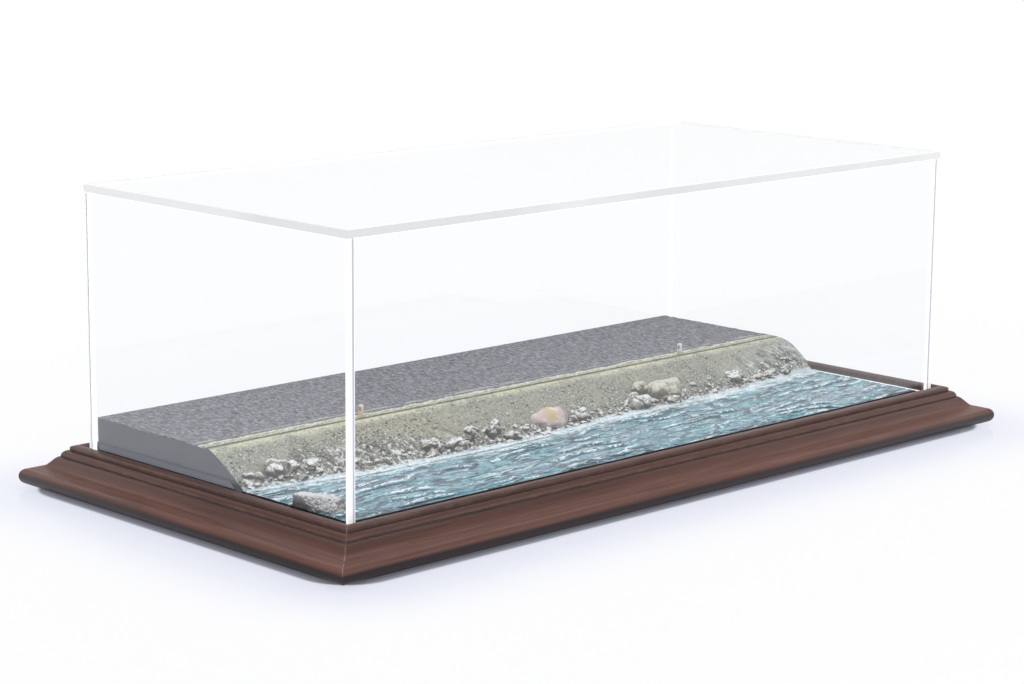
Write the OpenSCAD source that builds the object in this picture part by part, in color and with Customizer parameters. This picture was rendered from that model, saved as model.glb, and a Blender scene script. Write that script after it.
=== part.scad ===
// Display case for a scale model: a clear acrylic cover that stands in the
// rebate of a moulded hardwood plinth, round a loose diorama insert with a
// coast road, a stony bank and water.
// Millimetres, +Z up. The origin is on the floor, under the plinth's centre.
// The road side is +Y, the water side is -Y.

/* [Cover] */
// Outer length of the clear cover
cover_l = 325; // [290:1:360]
// Outer width of the clear cover
cover_w = 150; // [140:1:170]
// Height of the cover from its lower edge to its top face
cover_h = 102.5; // [80:0.5:130]
// Thickness of the acrylic sheets
sheet_t = 3; // [2.5:0.1:4]

/* [Plinth] */
// Height of the rails from their underside to the top of the inner bead
rail_h = 15.2; // [14.6:0.1:18]
// Depth of the rebate that the cover stands in
rebate_d = 2.7; // [2:0.1:3.5]
// Clearance between the cover and the wall of the rebate
cover_gap = 1; // [0.5:0.1:1.5]
// Width of the inner bead
bead_w = 4.3; // [3.5:0.1:5]
// Rise of the inner bead's crown
bead_rise = 0.8; // [0.4:0.1:1.2]
// Step down from the inner bead to the quarter round
step_d = 1; // [0.6:0.1:1.4]
// Width of the quarter round
quarter_w = 2.5; // [2:0.1:3]
// Height of the quarter round
quarter_h = 2.45; // [2:0.05:3]
// Width of the ogee
ogee_w = 5.2; // [4:0.1:7]
// Height of the ogee
ogee_h = 4; // [3:0.1:4.5]
// Width of the sloping apron
apron_w = 3.9; // [2:0.1:6]
// Fall of the apron
apron_fall = 1; // [0.5:0.1:1.4]
// Width of the rounded nose
nose_w = 2.4; // [1.5:0.1:3.5]
// Width of the ledge that shows inside the cover
ledge_w = 9; // [7:0.5:12]
// Width of the shelf under the base board
shelf_w = 8; // [7:0.5:12]
// Thickness of the shelf under the base board
shelf_t = 5; // [4:0.1:6]
// Gap all round the base board
board_gap = 0.2; // [0.1:0.05:0.5]

/* [Fixings] */
// Diameter of the screw heads
head_d = 5.6; // [5:0.1:6]
// Height of the screw heads
head_h = 1.6; // [1.2:0.1:2]
// Diameter of the screw shanks
shank_d = 3; // [2.5:0.1:3.5]
// How far the screws reach into the base board
screw_bite = 5.5; // [3:0.1:6]
// Radial clearance round a screw in the shelf
screw_gap = 0.25; // [0.1:0.05:0.4]
// Distance of the outer screws from the middle of the long rails
screw_span = 105; // [80:1:120]
// Length of the corner splines
spline_l = 20; // [14:0.5:22]
// Width of the corner splines
spline_w = 16; // [10:0.5:17]
// Thickness of the corner splines
spline_t = 2.4; // [1.5:0.1:3]
// Height of the corner splines above the underside of the rails
spline_z = 1.6; // [1:0.1:2]
// Clearance round a corner spline in its slot
spline_gap = 0.1; // [0.05:0.05:0.2]
// Diameter of the felt feet
foot_d = 12; // [8:0.5:14]
// Thickness of the felt feet
foot_h = 1.3; // [1:0.1:3]
// How far the centres of the feet lie outside the cover's faces
foot_out = 5; // [2:0.5:8]

/* [Insert] */
// Gap between the insert and the cover's left wall
insert_gap = 0.3; // [0.2:0.1:1]
// Clear strip between the insert and the cover's right wall
insert_play = 5.5; // [3:0.5:10]
// Gap between the insert and the cover's long walls
insert_side = 0.5; // [0.3:0.1:1.5]
// Thickness of the black insert board
board_t = 1; // [0.8:0.1:1.5]
// Thickness of the water layer
water_t = 0.8; // [0.5:0.1:1]
// Height of the road's core above the insert board
core_h = 12.5; // [9:0.1:15]
// Thickness of the asphalt
asphalt_t = 0.5; // [0.3:0.1:1]
// Width of the asphalt
asphalt_w = 59.5; // [50:0.5:62]
// Width of the gravel verge
verge_w = 7.5; // [6:0.1:10]
// Thickness of the gravel verge
verge_t = 0.6; // [0.5:0.1:1]
// Horizontal run of the rounded shoulder of the core
shoulder_w = 3.5; // [2:0.1:5]
// Fall of the rounded shoulder of the core
shoulder_fall = 1.8; // [1:0.1:3]
// Angle of the core's slope
slope_angle = 40; // [36:1:50]
// Thickness of the ground cover at the crest
crest_t = 0.4; // [0.3:0.1:0.5]
// Width of the bank from its crest to the water, where it is widest
bank_width = 30; // [26:0.5:33]
// Mean radius of a boulder on the bank
boulder_r = 4; // [3:0.1:5]
// Mean radius of a stone in the rubble at the water's edge
rubble_r = 1.4; // [1:0.1:2]
// Width of the foam line along the shore
foam_w = 3.2; // [2:0.1:5]
// Thickness of the foam line
foam_t = 0.4; // [0.3:0.1:0.6]
// Height of the flat rock above the insert board
flat_rock_h = 5.3; // [4:0.1:7]
// Length of the flat rock
flat_rock_l = 22; // [16:0.5:24]
// Distance of the flat rock's middle from the insert's left end
flat_rock_x = 6.2; // [6:0.1:9]
// Distance of the flat rock's middle from the insert's front edge
flat_rock_y = 20; // [16:0.5:24]

/* [Marker posts] */
// Width of the marker posts along the road
post_w = 1.3; // [1.1:0.1:2]
// Depth of the marker posts across the road
post_d = 1.7; // [1.3:0.1:2.5]
// Height of the left marker post
post_left_h = 5; // [4:0.1:8]
// Height of the right marker post
post_right_h = 4.8; // [4:0.1:8]
// Place of the left marker post along the insert, from its left end
post_left_x = 71.5; // [40:0.5:110]
// Place of the right marker post along the insert, from its left end
post_right_x = 250.5; // [200:0.5:265]
// Diameter of the peg under a post
peg_d = 0.8; // [0.6:0.1:1]
// Length of the peg under a post
peg_l = 3; // [2:0.1:4]
// Clearance round a peg, and round a reflector
peg_gap = 0.05; // [0.03:0.01:0.1]
// Width of a reflector plate
reflector_w = 0.9; // [0.6:0.1:1.1]
// Height of a reflector plate
reflector_h = 1.3; // [1:0.1:1.8]
// Thickness of a reflector plate
reflector_t = 0.3; // [0.2:0.1:0.5]
// Distance from the top of a post to its reflector
reflector_drop = 1; // [0.8:0.1:1.8]
// Height of the bevelled cap of a post
cap_h = 0.4; // [0.3:0.1:0.7]
// Distance of the posts from the crest of the bank
post_in = 0.35; // [0.2:0.05:1]

/* [Hidden] */
$fn = 48;
tiny = 0.01;

// Heights
rail_z = foot_h;
ledge_z = rail_z + rail_h - rebate_d;
shelf_z = rail_z + shelf_t;
wall_h = cover_h - sheet_t;
insert_z = ledge_z;
ground_z = insert_z + board_t;
water_z = ground_z + water_t;
core_z = ground_z + core_h;
verge_z = core_z + verge_t;

// Plinth
overhang = cover_gap + bead_w + quarter_w + ogee_w + apron_w + nose_w;
nose_h = rail_h - bead_rise - step_d - quarter_h - ogee_h - apron_fall;
ledge_in = sheet_t + ledge_w;
shelf_in = ledge_in + shelf_w;
base_board_l = cover_l - 2 * (ledge_in + board_gap);
base_board_w = cover_w - 2 * (ledge_in + board_gap);
screw_in = ledge_in + shelf_w / 2;
screw_countersink = 0.3;
arc_steps = 10;

// Insert
insert_l = cover_l - 2 * sheet_t - insert_gap - insert_play;
insert_w = cover_w - 2 * (sheet_t + insert_side);
insert_x = -cover_l / 2 + sheet_t + insert_gap;
insert_back = insert_w / 2;
crest_y = insert_back - asphalt_w - verge_w;
shoulder_y = crest_y - shoulder_w;
shoulder_z = core_z - shoulder_fall;
core_foot_y = shoulder_y - (shoulder_z - ground_z) / tan(slope_angle);
foot_lip = 0.3;
post_y = crest_y + post_in + post_d / 2;

// The bank's shape along the insert: share of the insert's length, share of
// the bank's width, and how strongly its face bulges.
shore = [
    [0, 0.68, 1.2], [0.07, 0.78, 1.25], [0.14, 0.92, 1.3], [0.21, 0.95, 1.3],
    [0.29, 0.98, 1.3], [0.37, 1, 1.3], [0.47, 0.95, 1.35], [0.57, 0.88, 1.35],
    [0.67, 0.82, 1.4], [0.74, 0.88, 1.45], [0.83, 0.83, 1.5], [0.92, 0.72, 1.7],
    [1, 0.67, 2]
];
stations = 36;
face_steps = 7;

// Boulders at the foot of the bank: share of the insert's length, distance
// in from the water's edge and radii as shares of boulder_r, and seed.
pink_boulders = [[0.476, 1.45, [2, 1.3, 1.2], 11]];
pale_boulders = [[0.697, 1.45, [1.9, 1.4, 1.45], 23], [0.66, 2.05, [0.9, 0.75, 1], 29]];
grey_boulders = [
    [0.018, 0.55, [0.85, 0.75, 0.9], 3], [0.065, 1.35, [1.35, 0.85, 1.05], 5],
    [0.078, 0.1, [0.6, 0.5, 0.6], 7], [0.104, 1.6, [0.65, 0.55, 0.65], 9],
    [0.267, 1.15, [1.15, 0.85, 0.95], 13], [0.303, 0.65, [1, 0.75, 0.9], 15],
    [0.334, 1.65, [0.85, 0.75, 1.15], 17], [0.371, 1.6, [1.15, 0.85, 1.05], 19],
    [0.394, 0.3, [0.75, 0.6, 0.75], 21], [0.522, 1.1, [1, 0.7, 0.8], 25],
    [0.632, 0.6, [1.5, 1, 1.15], 27], [0.694, 0.1, [0.85, 0.65, 0.75], 31],
    [0.724, 0.7, [0.65, 0.55, 0.7], 33], [0.834, 1.05, [0.9, 0.7, 0.85], 35],
    [0.91, 0.4, [0.7, 0.55, 0.55], 37], [0.942, 0.45, [0.65, 0.55, 0.55], 39]
];
boulder_rings = 4;
boulder_sides = 8;

// Rubble along the water's edge: how far in from the edge, and how much the
// stones differ in size, as shares of rubble_r.
rubble_count = 54;
rubble_seed = 42;
rubble_in = [-0.2, 1.6];
rubble_spread = [0.65, 1.35];

// Outlines of the flat rock's foot and top about its middle, as shares of
// its length.
flat_rock_foot = [
    [-0.25, 0.455], [-0.245, -0.115], [-0.145, -0.43], [0.045, -0.5],
    [0.225, -0.41], [0.295, -0.115], [0.16, 0.25], [-0.045, 0.475]
];
flat_rock_top = [
    [-0.25, 0.41], [0.07, -0.32], [0.19, -0.3], [0.18, 0.07], [0, 0.39]
];

// ---- Plinth ---------------------------------------------------------------

// A quarter or half ellipse about [o, z] as points, from angle a to angle b.
function arc(o, z, r_o, r_z, a, b, steps = arc_steps) =
    [for (i = [0 : steps]) let (t = a + (b - a) * i / steps)
        [o + r_o * cos(t), z + r_z * sin(t)]];

// The ogee as a smooth S from [o, z] outwards and down.
function ogee(o, z) =
    [for (i = [1 : arc_steps]) let (t = i / arc_steps)
        [o + ogee_w * t, z - ogee_h * t * t * (3 - 2 * t)]];

// Cross-section of a rail: distance out from the cover's face, and height
// above the rail's underside.
function rail_profile() =
    let (
        bead_o = cover_gap + bead_w / 2,
        bead_z = rail_h - bead_rise,
        quarter_o = cover_gap + bead_w,
        quarter_z = bead_z - step_d - quarter_h,
        ogee_o = quarter_o + quarter_w,
        nose_o = ogee_o + ogee_w + apron_w
    )
    concat(
        [[-shelf_in, 0], [-shelf_in, shelf_t], [-ledge_in, shelf_t]],
        [[-ledge_in, rail_h - rebate_d], [cover_gap, rail_h - rebate_d]],
        arc(bead_o, bead_z, bead_w / 2, bead_rise, 180, 0),
        arc(quarter_o, quarter_z, quarter_w, quarter_h, 90, 0),
        ogee(ogee_o, quarter_z),
        arc(nose_o, nose_h / 2, nose_w, nose_h / 2, 90, -90)
    );

// Plan of a rail that lies along X on the -Y side, mitred at both ends.
module mitred_plan(half_run, half_across) {
    out = overhang + 1;
    in = shelf_in + 1;
    polygon([
        [-half_run - out, -half_across - out], [half_run + out, -half_across - out],
        [half_run - in, -half_across + in], [-half_run + in, -half_across + in]
    ]);
}

module rail(half_run, half_across) {
    length = 2 * (half_run + overhang);
    intersection() {
        translate([-length / 2, -half_across, rail_z])
            rotate([90, 0, 90]) linear_extrude(length)
                polygon([for (p = rail_profile()) [-p.x, p.y]]);
        translate([0, 0, rail_z - 1]) linear_extrude(rail_h + 2)
            mitred_plan(half_run, half_across);
    }
}

// One slot or spline across each mitre, larger by gap on every side.
module corner_spline(sx, sy, gap = 0) {
    out = (overhang - ledge_in) / 2 - 1.6;
    translate([
        sx * (cover_l / 2 + out), sy * (cover_w / 2 + out),
        rail_z + spline_z + spline_t / 2
    ])
        rotate(45 * sx * sy)
            cube([spline_l + 2 * gap, spline_w + 2 * gap, spline_t + 2 * gap], center = true);
}

module all_corner_splines(gap = 0) {
    for (sx = [-1, 1], sy = [-1, 1]) corner_spline(sx, sy, gap);
}

function screw_places() = concat(
    [for (sy = [-1, 1], i = [-1 : 1]) [i * screw_span, sy * (cover_w / 2 - screw_in)]],
    [for (sx = [-1, 1]) [sx * (cover_l / 2 - screw_in), 0]]
);

// A countersunk screw pointing up. grow widens it for the hole in the shelf.
module screw_body(grow = 0) {
    head_z = rail_z + screw_countersink;
    translate([0, 0, head_z])
        cylinder(d1 = head_d + 2 * grow, d2 = shank_d + 2 * grow, h = head_h);
    translate([0, 0, head_z + head_h - tiny])
        cylinder(d = shank_d + 2 * grow, h = shelf_z + tiny - head_z - head_h);
}

module shelf_holes() {
    for (p = screw_places()) translate([p.x, p.y, 0]) {
        screw_body(screw_gap);
        translate([0, 0, rail_z - 1])
            cylinder(d = head_d + 2 * screw_gap, h = 1 + screw_countersink + tiny);
    }
}

module cut_rail() {
    difference() {
        children();
        all_corner_splines(spline_gap);
        shelf_holes();
    }
}

module front_rail() {
    color("#52352d") cut_rail() rail(cover_l / 2, cover_w / 2);
}

module back_rail() {
    color("#52352d") cut_rail() rotate(180) rail(cover_l / 2, cover_w / 2);
}

module left_rail() {
    color("#4b3029") cut_rail() rotate(-90) rail(cover_w / 2, cover_l / 2);
}

module right_rail() {
    color("#4b3029") cut_rail() rotate(90) rail(cover_w / 2, cover_l / 2);
}

module base_board() {
    color("#4a312a")
        difference() {
            translate([-base_board_l / 2, -base_board_w / 2, shelf_z])
                cube([base_board_l, base_board_w, ledge_z - shelf_z]);
            for (p = screw_places()) translate([p.x, p.y, shelf_z - 1])
                cylinder(d = shank_d, h = 1 + screw_bite);
        }
}

module corner_splines() {
    color("#c9a877") all_corner_splines();
}

module board_screws() {
    slot_w = 0.6;
    slot_d = 0.7;
    color("#b9a15c")
        for (p = screw_places()) translate([p.x, p.y, 0])
            difference() {
                union() {
                    screw_body();
                    translate([0, 0, shelf_z - tiny])
                        cylinder(d = shank_d, h = screw_bite + tiny);
                }
                for (turn = [0, 90])
                    translate([0, 0, rail_z + screw_countersink + slot_d / 2 - tiny])
                        rotate(turn) cube([head_d * 0.6, slot_w, slot_d], center = true);
            }
}

module felt_feet() {
    color("#3a3a3c")
        for (sy = [-1, 1], i = [-1 : 1])
            translate([i * (cover_l / 2 + foot_out), sy * (cover_w / 2 + foot_out), 0])
                cylinder(d = foot_d, h = foot_h);
}

// ---- Cover ----------------------------------------------------------------

module cover_top() {
    color("#dfeef2", 0.35)
        translate([-cover_l / 2, -cover_w / 2, ledge_z + wall_h])
            cube([cover_l, cover_w, sheet_t]);
}

// A long wall fits between the two end walls.
module long_wall(y) {
    color("#dfeef2", 0.35)
        translate([-cover_l / 2 + sheet_t, y, ledge_z])
            cube([cover_l - 2 * sheet_t, sheet_t, wall_h]);
}

module end_wall(x) {
    color("#dfeef2", 0.35)
        translate([x, -cover_w / 2, ledge_z]) cube([sheet_t, cover_w, wall_h]);
}

module cover_front() { long_wall(-cover_w / 2); }
module cover_back() { long_wall(cover_w / 2 - sheet_t); }
module cover_left() { end_wall(-cover_l / 2); }
module cover_right() { end_wall(cover_l / 2 - sheet_t); }

// ---- Insert ---------------------------------------------------------------

module insert_board() {
    color("#1c1c1f")
        translate([insert_x, -insert_w / 2, insert_z]) cube([insert_l, insert_w, board_t]);
}

function post_places() = [[post_left_x, post_left_h], [post_right_x, post_right_h]];

module peg_holes() {
    for (p = post_places()) translate([insert_x + p.x, post_y, verge_z - peg_l - peg_gap])
        cylinder(d = peg_d + 2 * peg_gap, h = peg_l + 1);
}

module core_solid() {
    translate([insert_x, 0, 0]) rotate([90, 0, 90]) linear_extrude(insert_l)
        polygon([
            [core_foot_y, ground_z], [insert_back, ground_z], [insert_back, core_z],
            [crest_y, core_z], [shoulder_y, shoulder_z]
        ]);
}

module road_core() {
    color("#6e6f78") difference() { core_solid(); peg_holes(); }
}

module asphalt() {
    color("#7d7a82")
        translate([insert_x, insert_back - asphalt_w, core_z])
            cube([insert_l, asphalt_w, asphalt_t]);
}

module verge_strip() {
    color("#c6c8b4")
        difference() {
            translate([insert_x, crest_y, core_z]) cube([insert_l, verge_w, verge_t]);
            peg_holes();
        }
}

// Width of the bank and bulge of its face at share s of the insert's length.
function bank_w(s) = bank_width * lookup(s, [for (p = shore) [p[0], p[1]]]);
function bulge(s) = lookup(s, [for (p = shore) [p[0], p[2]]]);
function shore_y(s) = crest_y - bank_w(s);
function along(s) = insert_x + s * insert_l;

// Height of the bank's face at share t of its width, from the crest down.
function face_z(s, t) =
    let (low = water_z + foot_lip, high = core_z + crest_t)
    low + (high - low) * (1 - pow(t, bulge(s)));

// The bank's face at share s, from the water's edge up to the crest.
function bank_face(s) =
    [for (i = [face_steps : -1 : 0]) let (t = i / face_steps)
        [crest_y - t * bank_w(s), face_z(s, t)]];

// One closed section of the bank: along the core, out along the insert
// board to the water's edge, and back up the face.
function bank_section(s) = concat(
    [[crest_y, core_z], [shoulder_y, shoulder_z], [core_foot_y, ground_z]],
    [[shore_y(s), ground_z]],
    bank_face(s)
);

// A solid through one section at each station of the insert's length.
module lofted(sections) {
    count = len(sections[0]);
    sides = [for (k = [0 : stations - 1], i = [0 : count - 1])
        let (a = k * count + i, b = k * count + (i + 1) % count)
            for (f = [[a, b, b + count], [a, b + count, a + count]]) f];
    polyhedron(
        [for (k = [0 : stations], p = sections[k]) [along(k / stations), p.x, p.y]],
        concat(
            sides,
            [[for (i = [count - 1 : -1 : 0]) i]],
            [[for (i = [0 : count - 1]) stations * count + i]]
        )
    );
}

module bank_solid() { lofted([for (k = [0 : stations]) bank_section(k / stations)]); }

// The section of all the ground that the stones stand on, down to a depth
// below every stone: the water, the foam line and the bank's face.
function ground_section(s) =
    let (
        deep = ground_z - core_h,
        front = -insert_w / 2,
        foam_y = max(shore_y(s) - foam_w, front)
    )
    concat(
        [[crest_y, deep], [front, deep], [front, water_z]],
        [[foam_y, water_z], [foam_y, water_z + foam_t], [shore_y(s), water_z + foam_t]],
        bank_face(s)
    );

// A lumpy stone about its own centre.
module stone(r, seed, rings, sides, lump = 0.14) {
    q = rands(1 - lump, 1 + lump, rings * sides, seed);
    turn = rands(0, 360, 1, seed)[0];
    ring_points = [for (k = [0 : rings - 1], i = [0 : sides - 1])
        let (
            up = -90 + 180 * (k + 1) / (rings + 1),
            round = turn + 360 * i / sides,
            f = q[k * sides + i]
        )
        [r.x * f * cos(up) * cos(round), r.y * f * cos(up) * sin(round), r.z * f * sin(up)]];
    top = 1 + rings * sides;
    around = [for (i = [0 : sides - 1]) [1 + i, 1 + (i + 1) % sides]];
    belts = [for (k = [0 : rings - 2], e = around)
        for (f = [
            [e[0] + k * sides, e[0] + (k + 1) * sides, e[1] + (k + 1) * sides],
            [e[0] + k * sides, e[1] + (k + 1) * sides, e[1] + k * sides]
        ]) f];
    polyhedron(concat([[0, 0, -r.z]], ring_points, [[0, 0, r.z]]), concat(
        [for (e = around) [0, e[0], e[1]]],
        belts,
        [for (e = around) [top, e[1] + (rings - 1) * sides, e[0] + (rings - 1) * sides]]
    ));
}

// A boulder's centre lies in the bank's face, in from the water's edge.
module boulders_at(list) {
    for (b = list) {
        in = b[1] * boulder_r;
        translate([along(b[0]), shore_y(b[0]) + in, face_z(b[0], 1 - in / bank_w(b[0]))])
            stone(b[2] * boulder_r, b[3], boulder_rings, boulder_sides);
    }
}

// A plate in front of the shore line, from height z, up to the front edge
// or to a strip of the given width.
module shore_plate(z, thick, width) {
    edge = [for (k = [0 : stations]) let (s = k / stations) [along(s), shore_y(s)]];
    front = [for (k = [stations : -1 : 0]) let (p = edge[k])
        [p.x, max(p.y - width, -insert_w / 2)]];
    translate([0, 0, z]) linear_extrude(thick) polygon(concat(edge, front));
}

module water_plate() { shore_plate(ground_z, water_t, insert_w); }
module foam_strip() { shore_plate(water_z, foam_t, foam_w); }

// Stones as they stand on the ground, which cuts them off underneath.
module on_ground() {
    difference() {
        children();
        lofted([for (k = [0 : stations]) ground_section(k / stations)]);
    }
}

module rubble_solid() {
    size = rands(rubble_spread[0], rubble_spread[1], rubble_count, rubble_seed);
    inset = rands(rubble_in[0], rubble_in[1], rubble_count, rubble_seed + 1);
    shift = rands(-0.3, 0.3, rubble_count, rubble_seed + 2);
    // The widest stone stays inside the insert's ends.
    margin = 2 * rubble_r / insert_l;
    for (i = [0 : rubble_count - 1]) {
        s = margin + (1 - 2 * margin) * (i + 0.5 + shift[i]) / rubble_count;
        r = rubble_r * size[i];
        in = rubble_r * inset[i];
        translate([along(s), shore_y(s) + in, face_z(s, 1 - max(in, 0) / bank_w(s)) + 0.1 * r])
            stone([r * 1.2, r, r * 0.85], rubble_seed + i, 2, 6);
    }
}

module flat_rock_solid() {
    translate([insert_x + flat_rock_x, -insert_w / 2 + flat_rock_y, ground_z])
        hull() {
            linear_extrude(tiny) polygon(flat_rock_l * flat_rock_foot);
            translate([0, 0, flat_rock_h - tiny])
                linear_extrude(tiny) polygon(flat_rock_l * flat_rock_top);
        }
}

module pink_boulder() {
    color("#d8b9b4") on_ground() boulders_at(pink_boulders);
}

module pale_boulders() {
    color("#d3cfb6") on_ground() boulders_at(pale_boulders);
}

module grey_boulders() {
    color("#a9a5a0")
        difference() {
            on_ground() boulders_at(grey_boulders);
            boulders_at(pink_boulders);
            boulders_at(pale_boulders);
        }
}

module shore_rubble() {
    color("#b9b5b4")
        difference() {
            on_ground() rubble_solid();
            boulders_at(pink_boulders);
            boulders_at(pale_boulders);
            boulders_at(grey_boulders);
        }
}

module flat_rock() { color("#8d8b8e") flat_rock_solid(); }
module bank() { color("#a2a592") bank_solid(); }
module water() { color("#5f93a0") difference() { water_plate(); flat_rock_solid(); } }
module foam_line() { color("#eef4f4") foam_strip(); }

// ---- Marker posts ---------------------------------------------------------

// A reflector plate let into the side of a post that faces along the road,
// near its top.
module reflector(h, gap = 0) {
    translate([-post_w / 2, -reflector_w / 2 - gap, h - reflector_drop - reflector_h - gap])
        cube([reflector_t + gap, reflector_w + 2 * gap, reflector_h + 2 * gap]);
}

module post(h) {
    difference() {
        union() {
            translate([-post_w / 2, -post_d / 2, 0]) cube([post_w, post_d, h - cap_h]);
            translate([0, 0, h - cap_h])
                linear_extrude(cap_h, scale = 0.7) square([post_w, post_d], center = true);
            translate([0, 0, -peg_l]) cylinder(d = peg_d, h = peg_l + tiny);
        }
        translate([-tiny, 0, 0]) reflector(h, peg_gap);
    }
}

module at_post(i) {
    translate([insert_x + post_places()[i].x, post_y, verge_z]) children();
}

module post_left() { color("#e3c3ae") at_post(0) post(post_left_h); }
module post_right() { color("#f1eff2") at_post(1) post(post_right_h); }

module post_reflectors() {
    color("#3b3532")
        for (i = [0, 1]) at_post(i) reflector(post_places()[i].y);
}

front_rail();
back_rail();
left_rail();
right_rail();
base_board();
corner_splines();
board_screws();
felt_feet();
cover_top();
cover_front();
cover_back();
cover_left();
cover_right();
insert_board();
road_core();
asphalt();
verge_strip();
bank();
water();
foam_line();
pink_boulder();
pale_boulders();
grey_boulders();
shore_rubble();
flat_rock();
post_left();
post_right();
post_reflectors();
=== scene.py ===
"""A display case: moulded plinth, clear acrylic cover and a coast road diorama.

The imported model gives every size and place. Each operator below makes one
piece of the case, or one group of like pieces, round that model.
"""

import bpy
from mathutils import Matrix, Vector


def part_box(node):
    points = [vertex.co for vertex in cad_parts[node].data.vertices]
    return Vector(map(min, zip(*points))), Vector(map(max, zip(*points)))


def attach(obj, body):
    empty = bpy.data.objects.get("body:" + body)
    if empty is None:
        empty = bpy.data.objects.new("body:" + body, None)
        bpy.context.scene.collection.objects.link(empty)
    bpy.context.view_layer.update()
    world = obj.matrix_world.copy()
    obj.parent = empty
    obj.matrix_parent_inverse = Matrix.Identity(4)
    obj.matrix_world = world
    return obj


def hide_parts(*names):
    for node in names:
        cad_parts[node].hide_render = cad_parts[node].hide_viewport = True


bl_info = {
    "name": "Display Case",
    "version": (1, 0, 0),
    "blender": (4, 5, 0),
    "location": "View3D > Sidebar > Display Case",
    "description": "Makes a model maker's display case with a coast road diorama",
    "category": "Object",
}

import bisect
import math
import random

import bpy
from mathutils import Matrix, Vector, noise

MM = 0.001

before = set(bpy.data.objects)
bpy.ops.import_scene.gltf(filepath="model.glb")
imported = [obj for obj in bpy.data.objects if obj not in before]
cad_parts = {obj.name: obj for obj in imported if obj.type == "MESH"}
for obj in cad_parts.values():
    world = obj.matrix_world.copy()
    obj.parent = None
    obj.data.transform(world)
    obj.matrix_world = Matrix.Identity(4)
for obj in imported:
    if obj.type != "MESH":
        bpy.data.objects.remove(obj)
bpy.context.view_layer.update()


def srgb(code):
    """The linear colour of a hex code."""
    parts = [int(code[i:i + 2], 16) / 255 for i in (1, 3, 5)]
    return tuple(c / 12.92 if c <= 0.04045 else ((c + 0.055) / 1.055) ** 2.4 for c in parts)


# ---- Places taken from the model, in metres ---------------------------------

COVER_X = -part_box("cover_left")[0].x
COVER_Y = -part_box("cover_front")[0].y
LEFT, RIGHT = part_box("road_core")[0].x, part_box("road_core")[1].x
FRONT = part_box("water")[0].y
CREST, ROAD_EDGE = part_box("verge_strip")[0].y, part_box("verge_strip")[1].y
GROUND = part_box("water")[0].z
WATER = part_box("water")[1].z
BANK_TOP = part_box("bank")[1].z
RAIL_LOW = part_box("front_rail")[0].z


def shore_points():
    """The shore line as (x, y) points from left to right: the bank's outermost foot."""
    foot = {}
    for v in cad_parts["bank"].data.vertices:
        if v.co.z < GROUND + 0.1 * MM:
            x = round(v.co.x / MM, 2) * MM
            foot[x] = min(foot.get(x, 1), v.co.y)
    return sorted(foot.items())


SHORE = shore_points()
SHORE_X = [p[0] for p in SHORE]


def shore_y(x):
    """Where the water meets the bank at x."""
    k = min(max(bisect.bisect_right(SHORE_X, x), 1), len(SHORE) - 1)
    (xa, ya), (xb, yb) = SHORE[k - 1], SHORE[k]
    return ya + (yb - ya) * min(max((x - xa) / (xb - xa), 0), 1)


def smoothstep(a, b, x):
    """0 below a and 1 above b, with a smooth rise between."""
    t = min(max((x - a) / (b - a), 0), 1)
    return t * t * (3 - 2 * t)


# ---- Settings a user would change -------------------------------------------

def colour(name, code, description):
    """A colour setting."""
    return bpy.props.FloatVectorProperty(
        name=name, description=description, default=srgb(code),
        size=3, min=0, max=1, subtype="COLOR")


def length(name, mm, description):
    """A length setting, given in millimetres and kept in metres."""
    return bpy.props.FloatProperty(
        name=name, description=description, default=mm * MM,
        min=0, subtype="DISTANCE", unit="LENGTH", precision=5)


class CaseSizes(bpy.types.PropertyGroup):
    """Small sizes of the finish."""

    rail_edge: length("Rail edge", 0.14, "Width of the eased edges of the rails")
    sheet_edge: length("Sheet edge", 0.12, "Width of the polished edges of the acrylic")
    sheet_gap: length("Sheet gap", 0.02, "Gap at each cemented joint of the acrylic")
    ground_mesh: length("Ground mesh", 0.43, "Spacing of the bank's and the water's mesh")
    wave_height: length("Wave height", 1, "Height of the waves")
    wave_run: length("Wave run", 8, "Distance from one wave to the next")
    foot_lumps: length("Foot lumps", 1.5, "Height of the lumps at the foot of the bank")
    grit: length("Grit", 0.75, "Size of the grit in the road's surface")
    stone_count: bpy.props.IntProperty(
        name="Stones", description="Stones in the rubble along the shore",
        default=430, min=0, max=1000)
    seed: bpy.props.IntProperty(
        name="Seed", description="Seed of the stones' places", default=7, min=0)


class CaseColours(bpy.types.PropertyGroup):
    """Main colours of the finishes."""

    wood: colour("Wood", "#784b3e", "Stained wood of the plinth")
    wood_dark: colour("Wood pores", "#5e392d", "Dark grain of the plinth")
    acrylic: colour("Acrylic", "#fdfeff", "Tint of the clear sheets")
    road: colour("Road", "#757379", "Surface of the road")
    core: colour("Core", "#707077", "Painted end of the road bed")
    verge: colour("Verge", "#ece8db", "Gravel beside the road")
    moss: colour("Moss", "#e8e3c8", "Pale moss along the crest")
    cover: colour("Ground cover", "#a8a495", "Ground cover of the bank")
    rock: colour("Rock", "#99948d", "Bare rock at the foot of the bank")
    water: colour("Water", "#5b9eab", "Middle tone of the water")
    # The next colour is painted shade on the steep faces of the waves.
    wave_shade: colour("Wave shade", "#1c4356", "Painted shade on the steep faces of the waves")
    # Foam is also the white on the waves' crests: brushing and painted highlight.
    foam: colour("Foam", "#f4f9fb", "Foam and crests of the waves")


# ---- Mesh helpers -----------------------------------------------------------

def select_only(*pieces):
    """Selects these objects alone and makes the first one active."""
    if bpy.context.object and bpy.context.object.mode != "OBJECT":
        bpy.ops.object.mode_set(mode="OBJECT")
    bpy.ops.object.select_all(action="DESELECT")
    for piece in pieces:
        piece.select_set(True)
    bpy.context.view_layer.objects.active = pieces[0]


def named(name):
    """Names the object that an operator has just added."""
    piece = bpy.context.object
    piece.name = piece.data.name = name
    return piece


def place(piece):
    """Moves a piece's place, turn and scale into its mesh."""
    select_only(piece)
    bpy.ops.object.transform_apply(location=True, rotation=True, scale=True)


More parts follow.
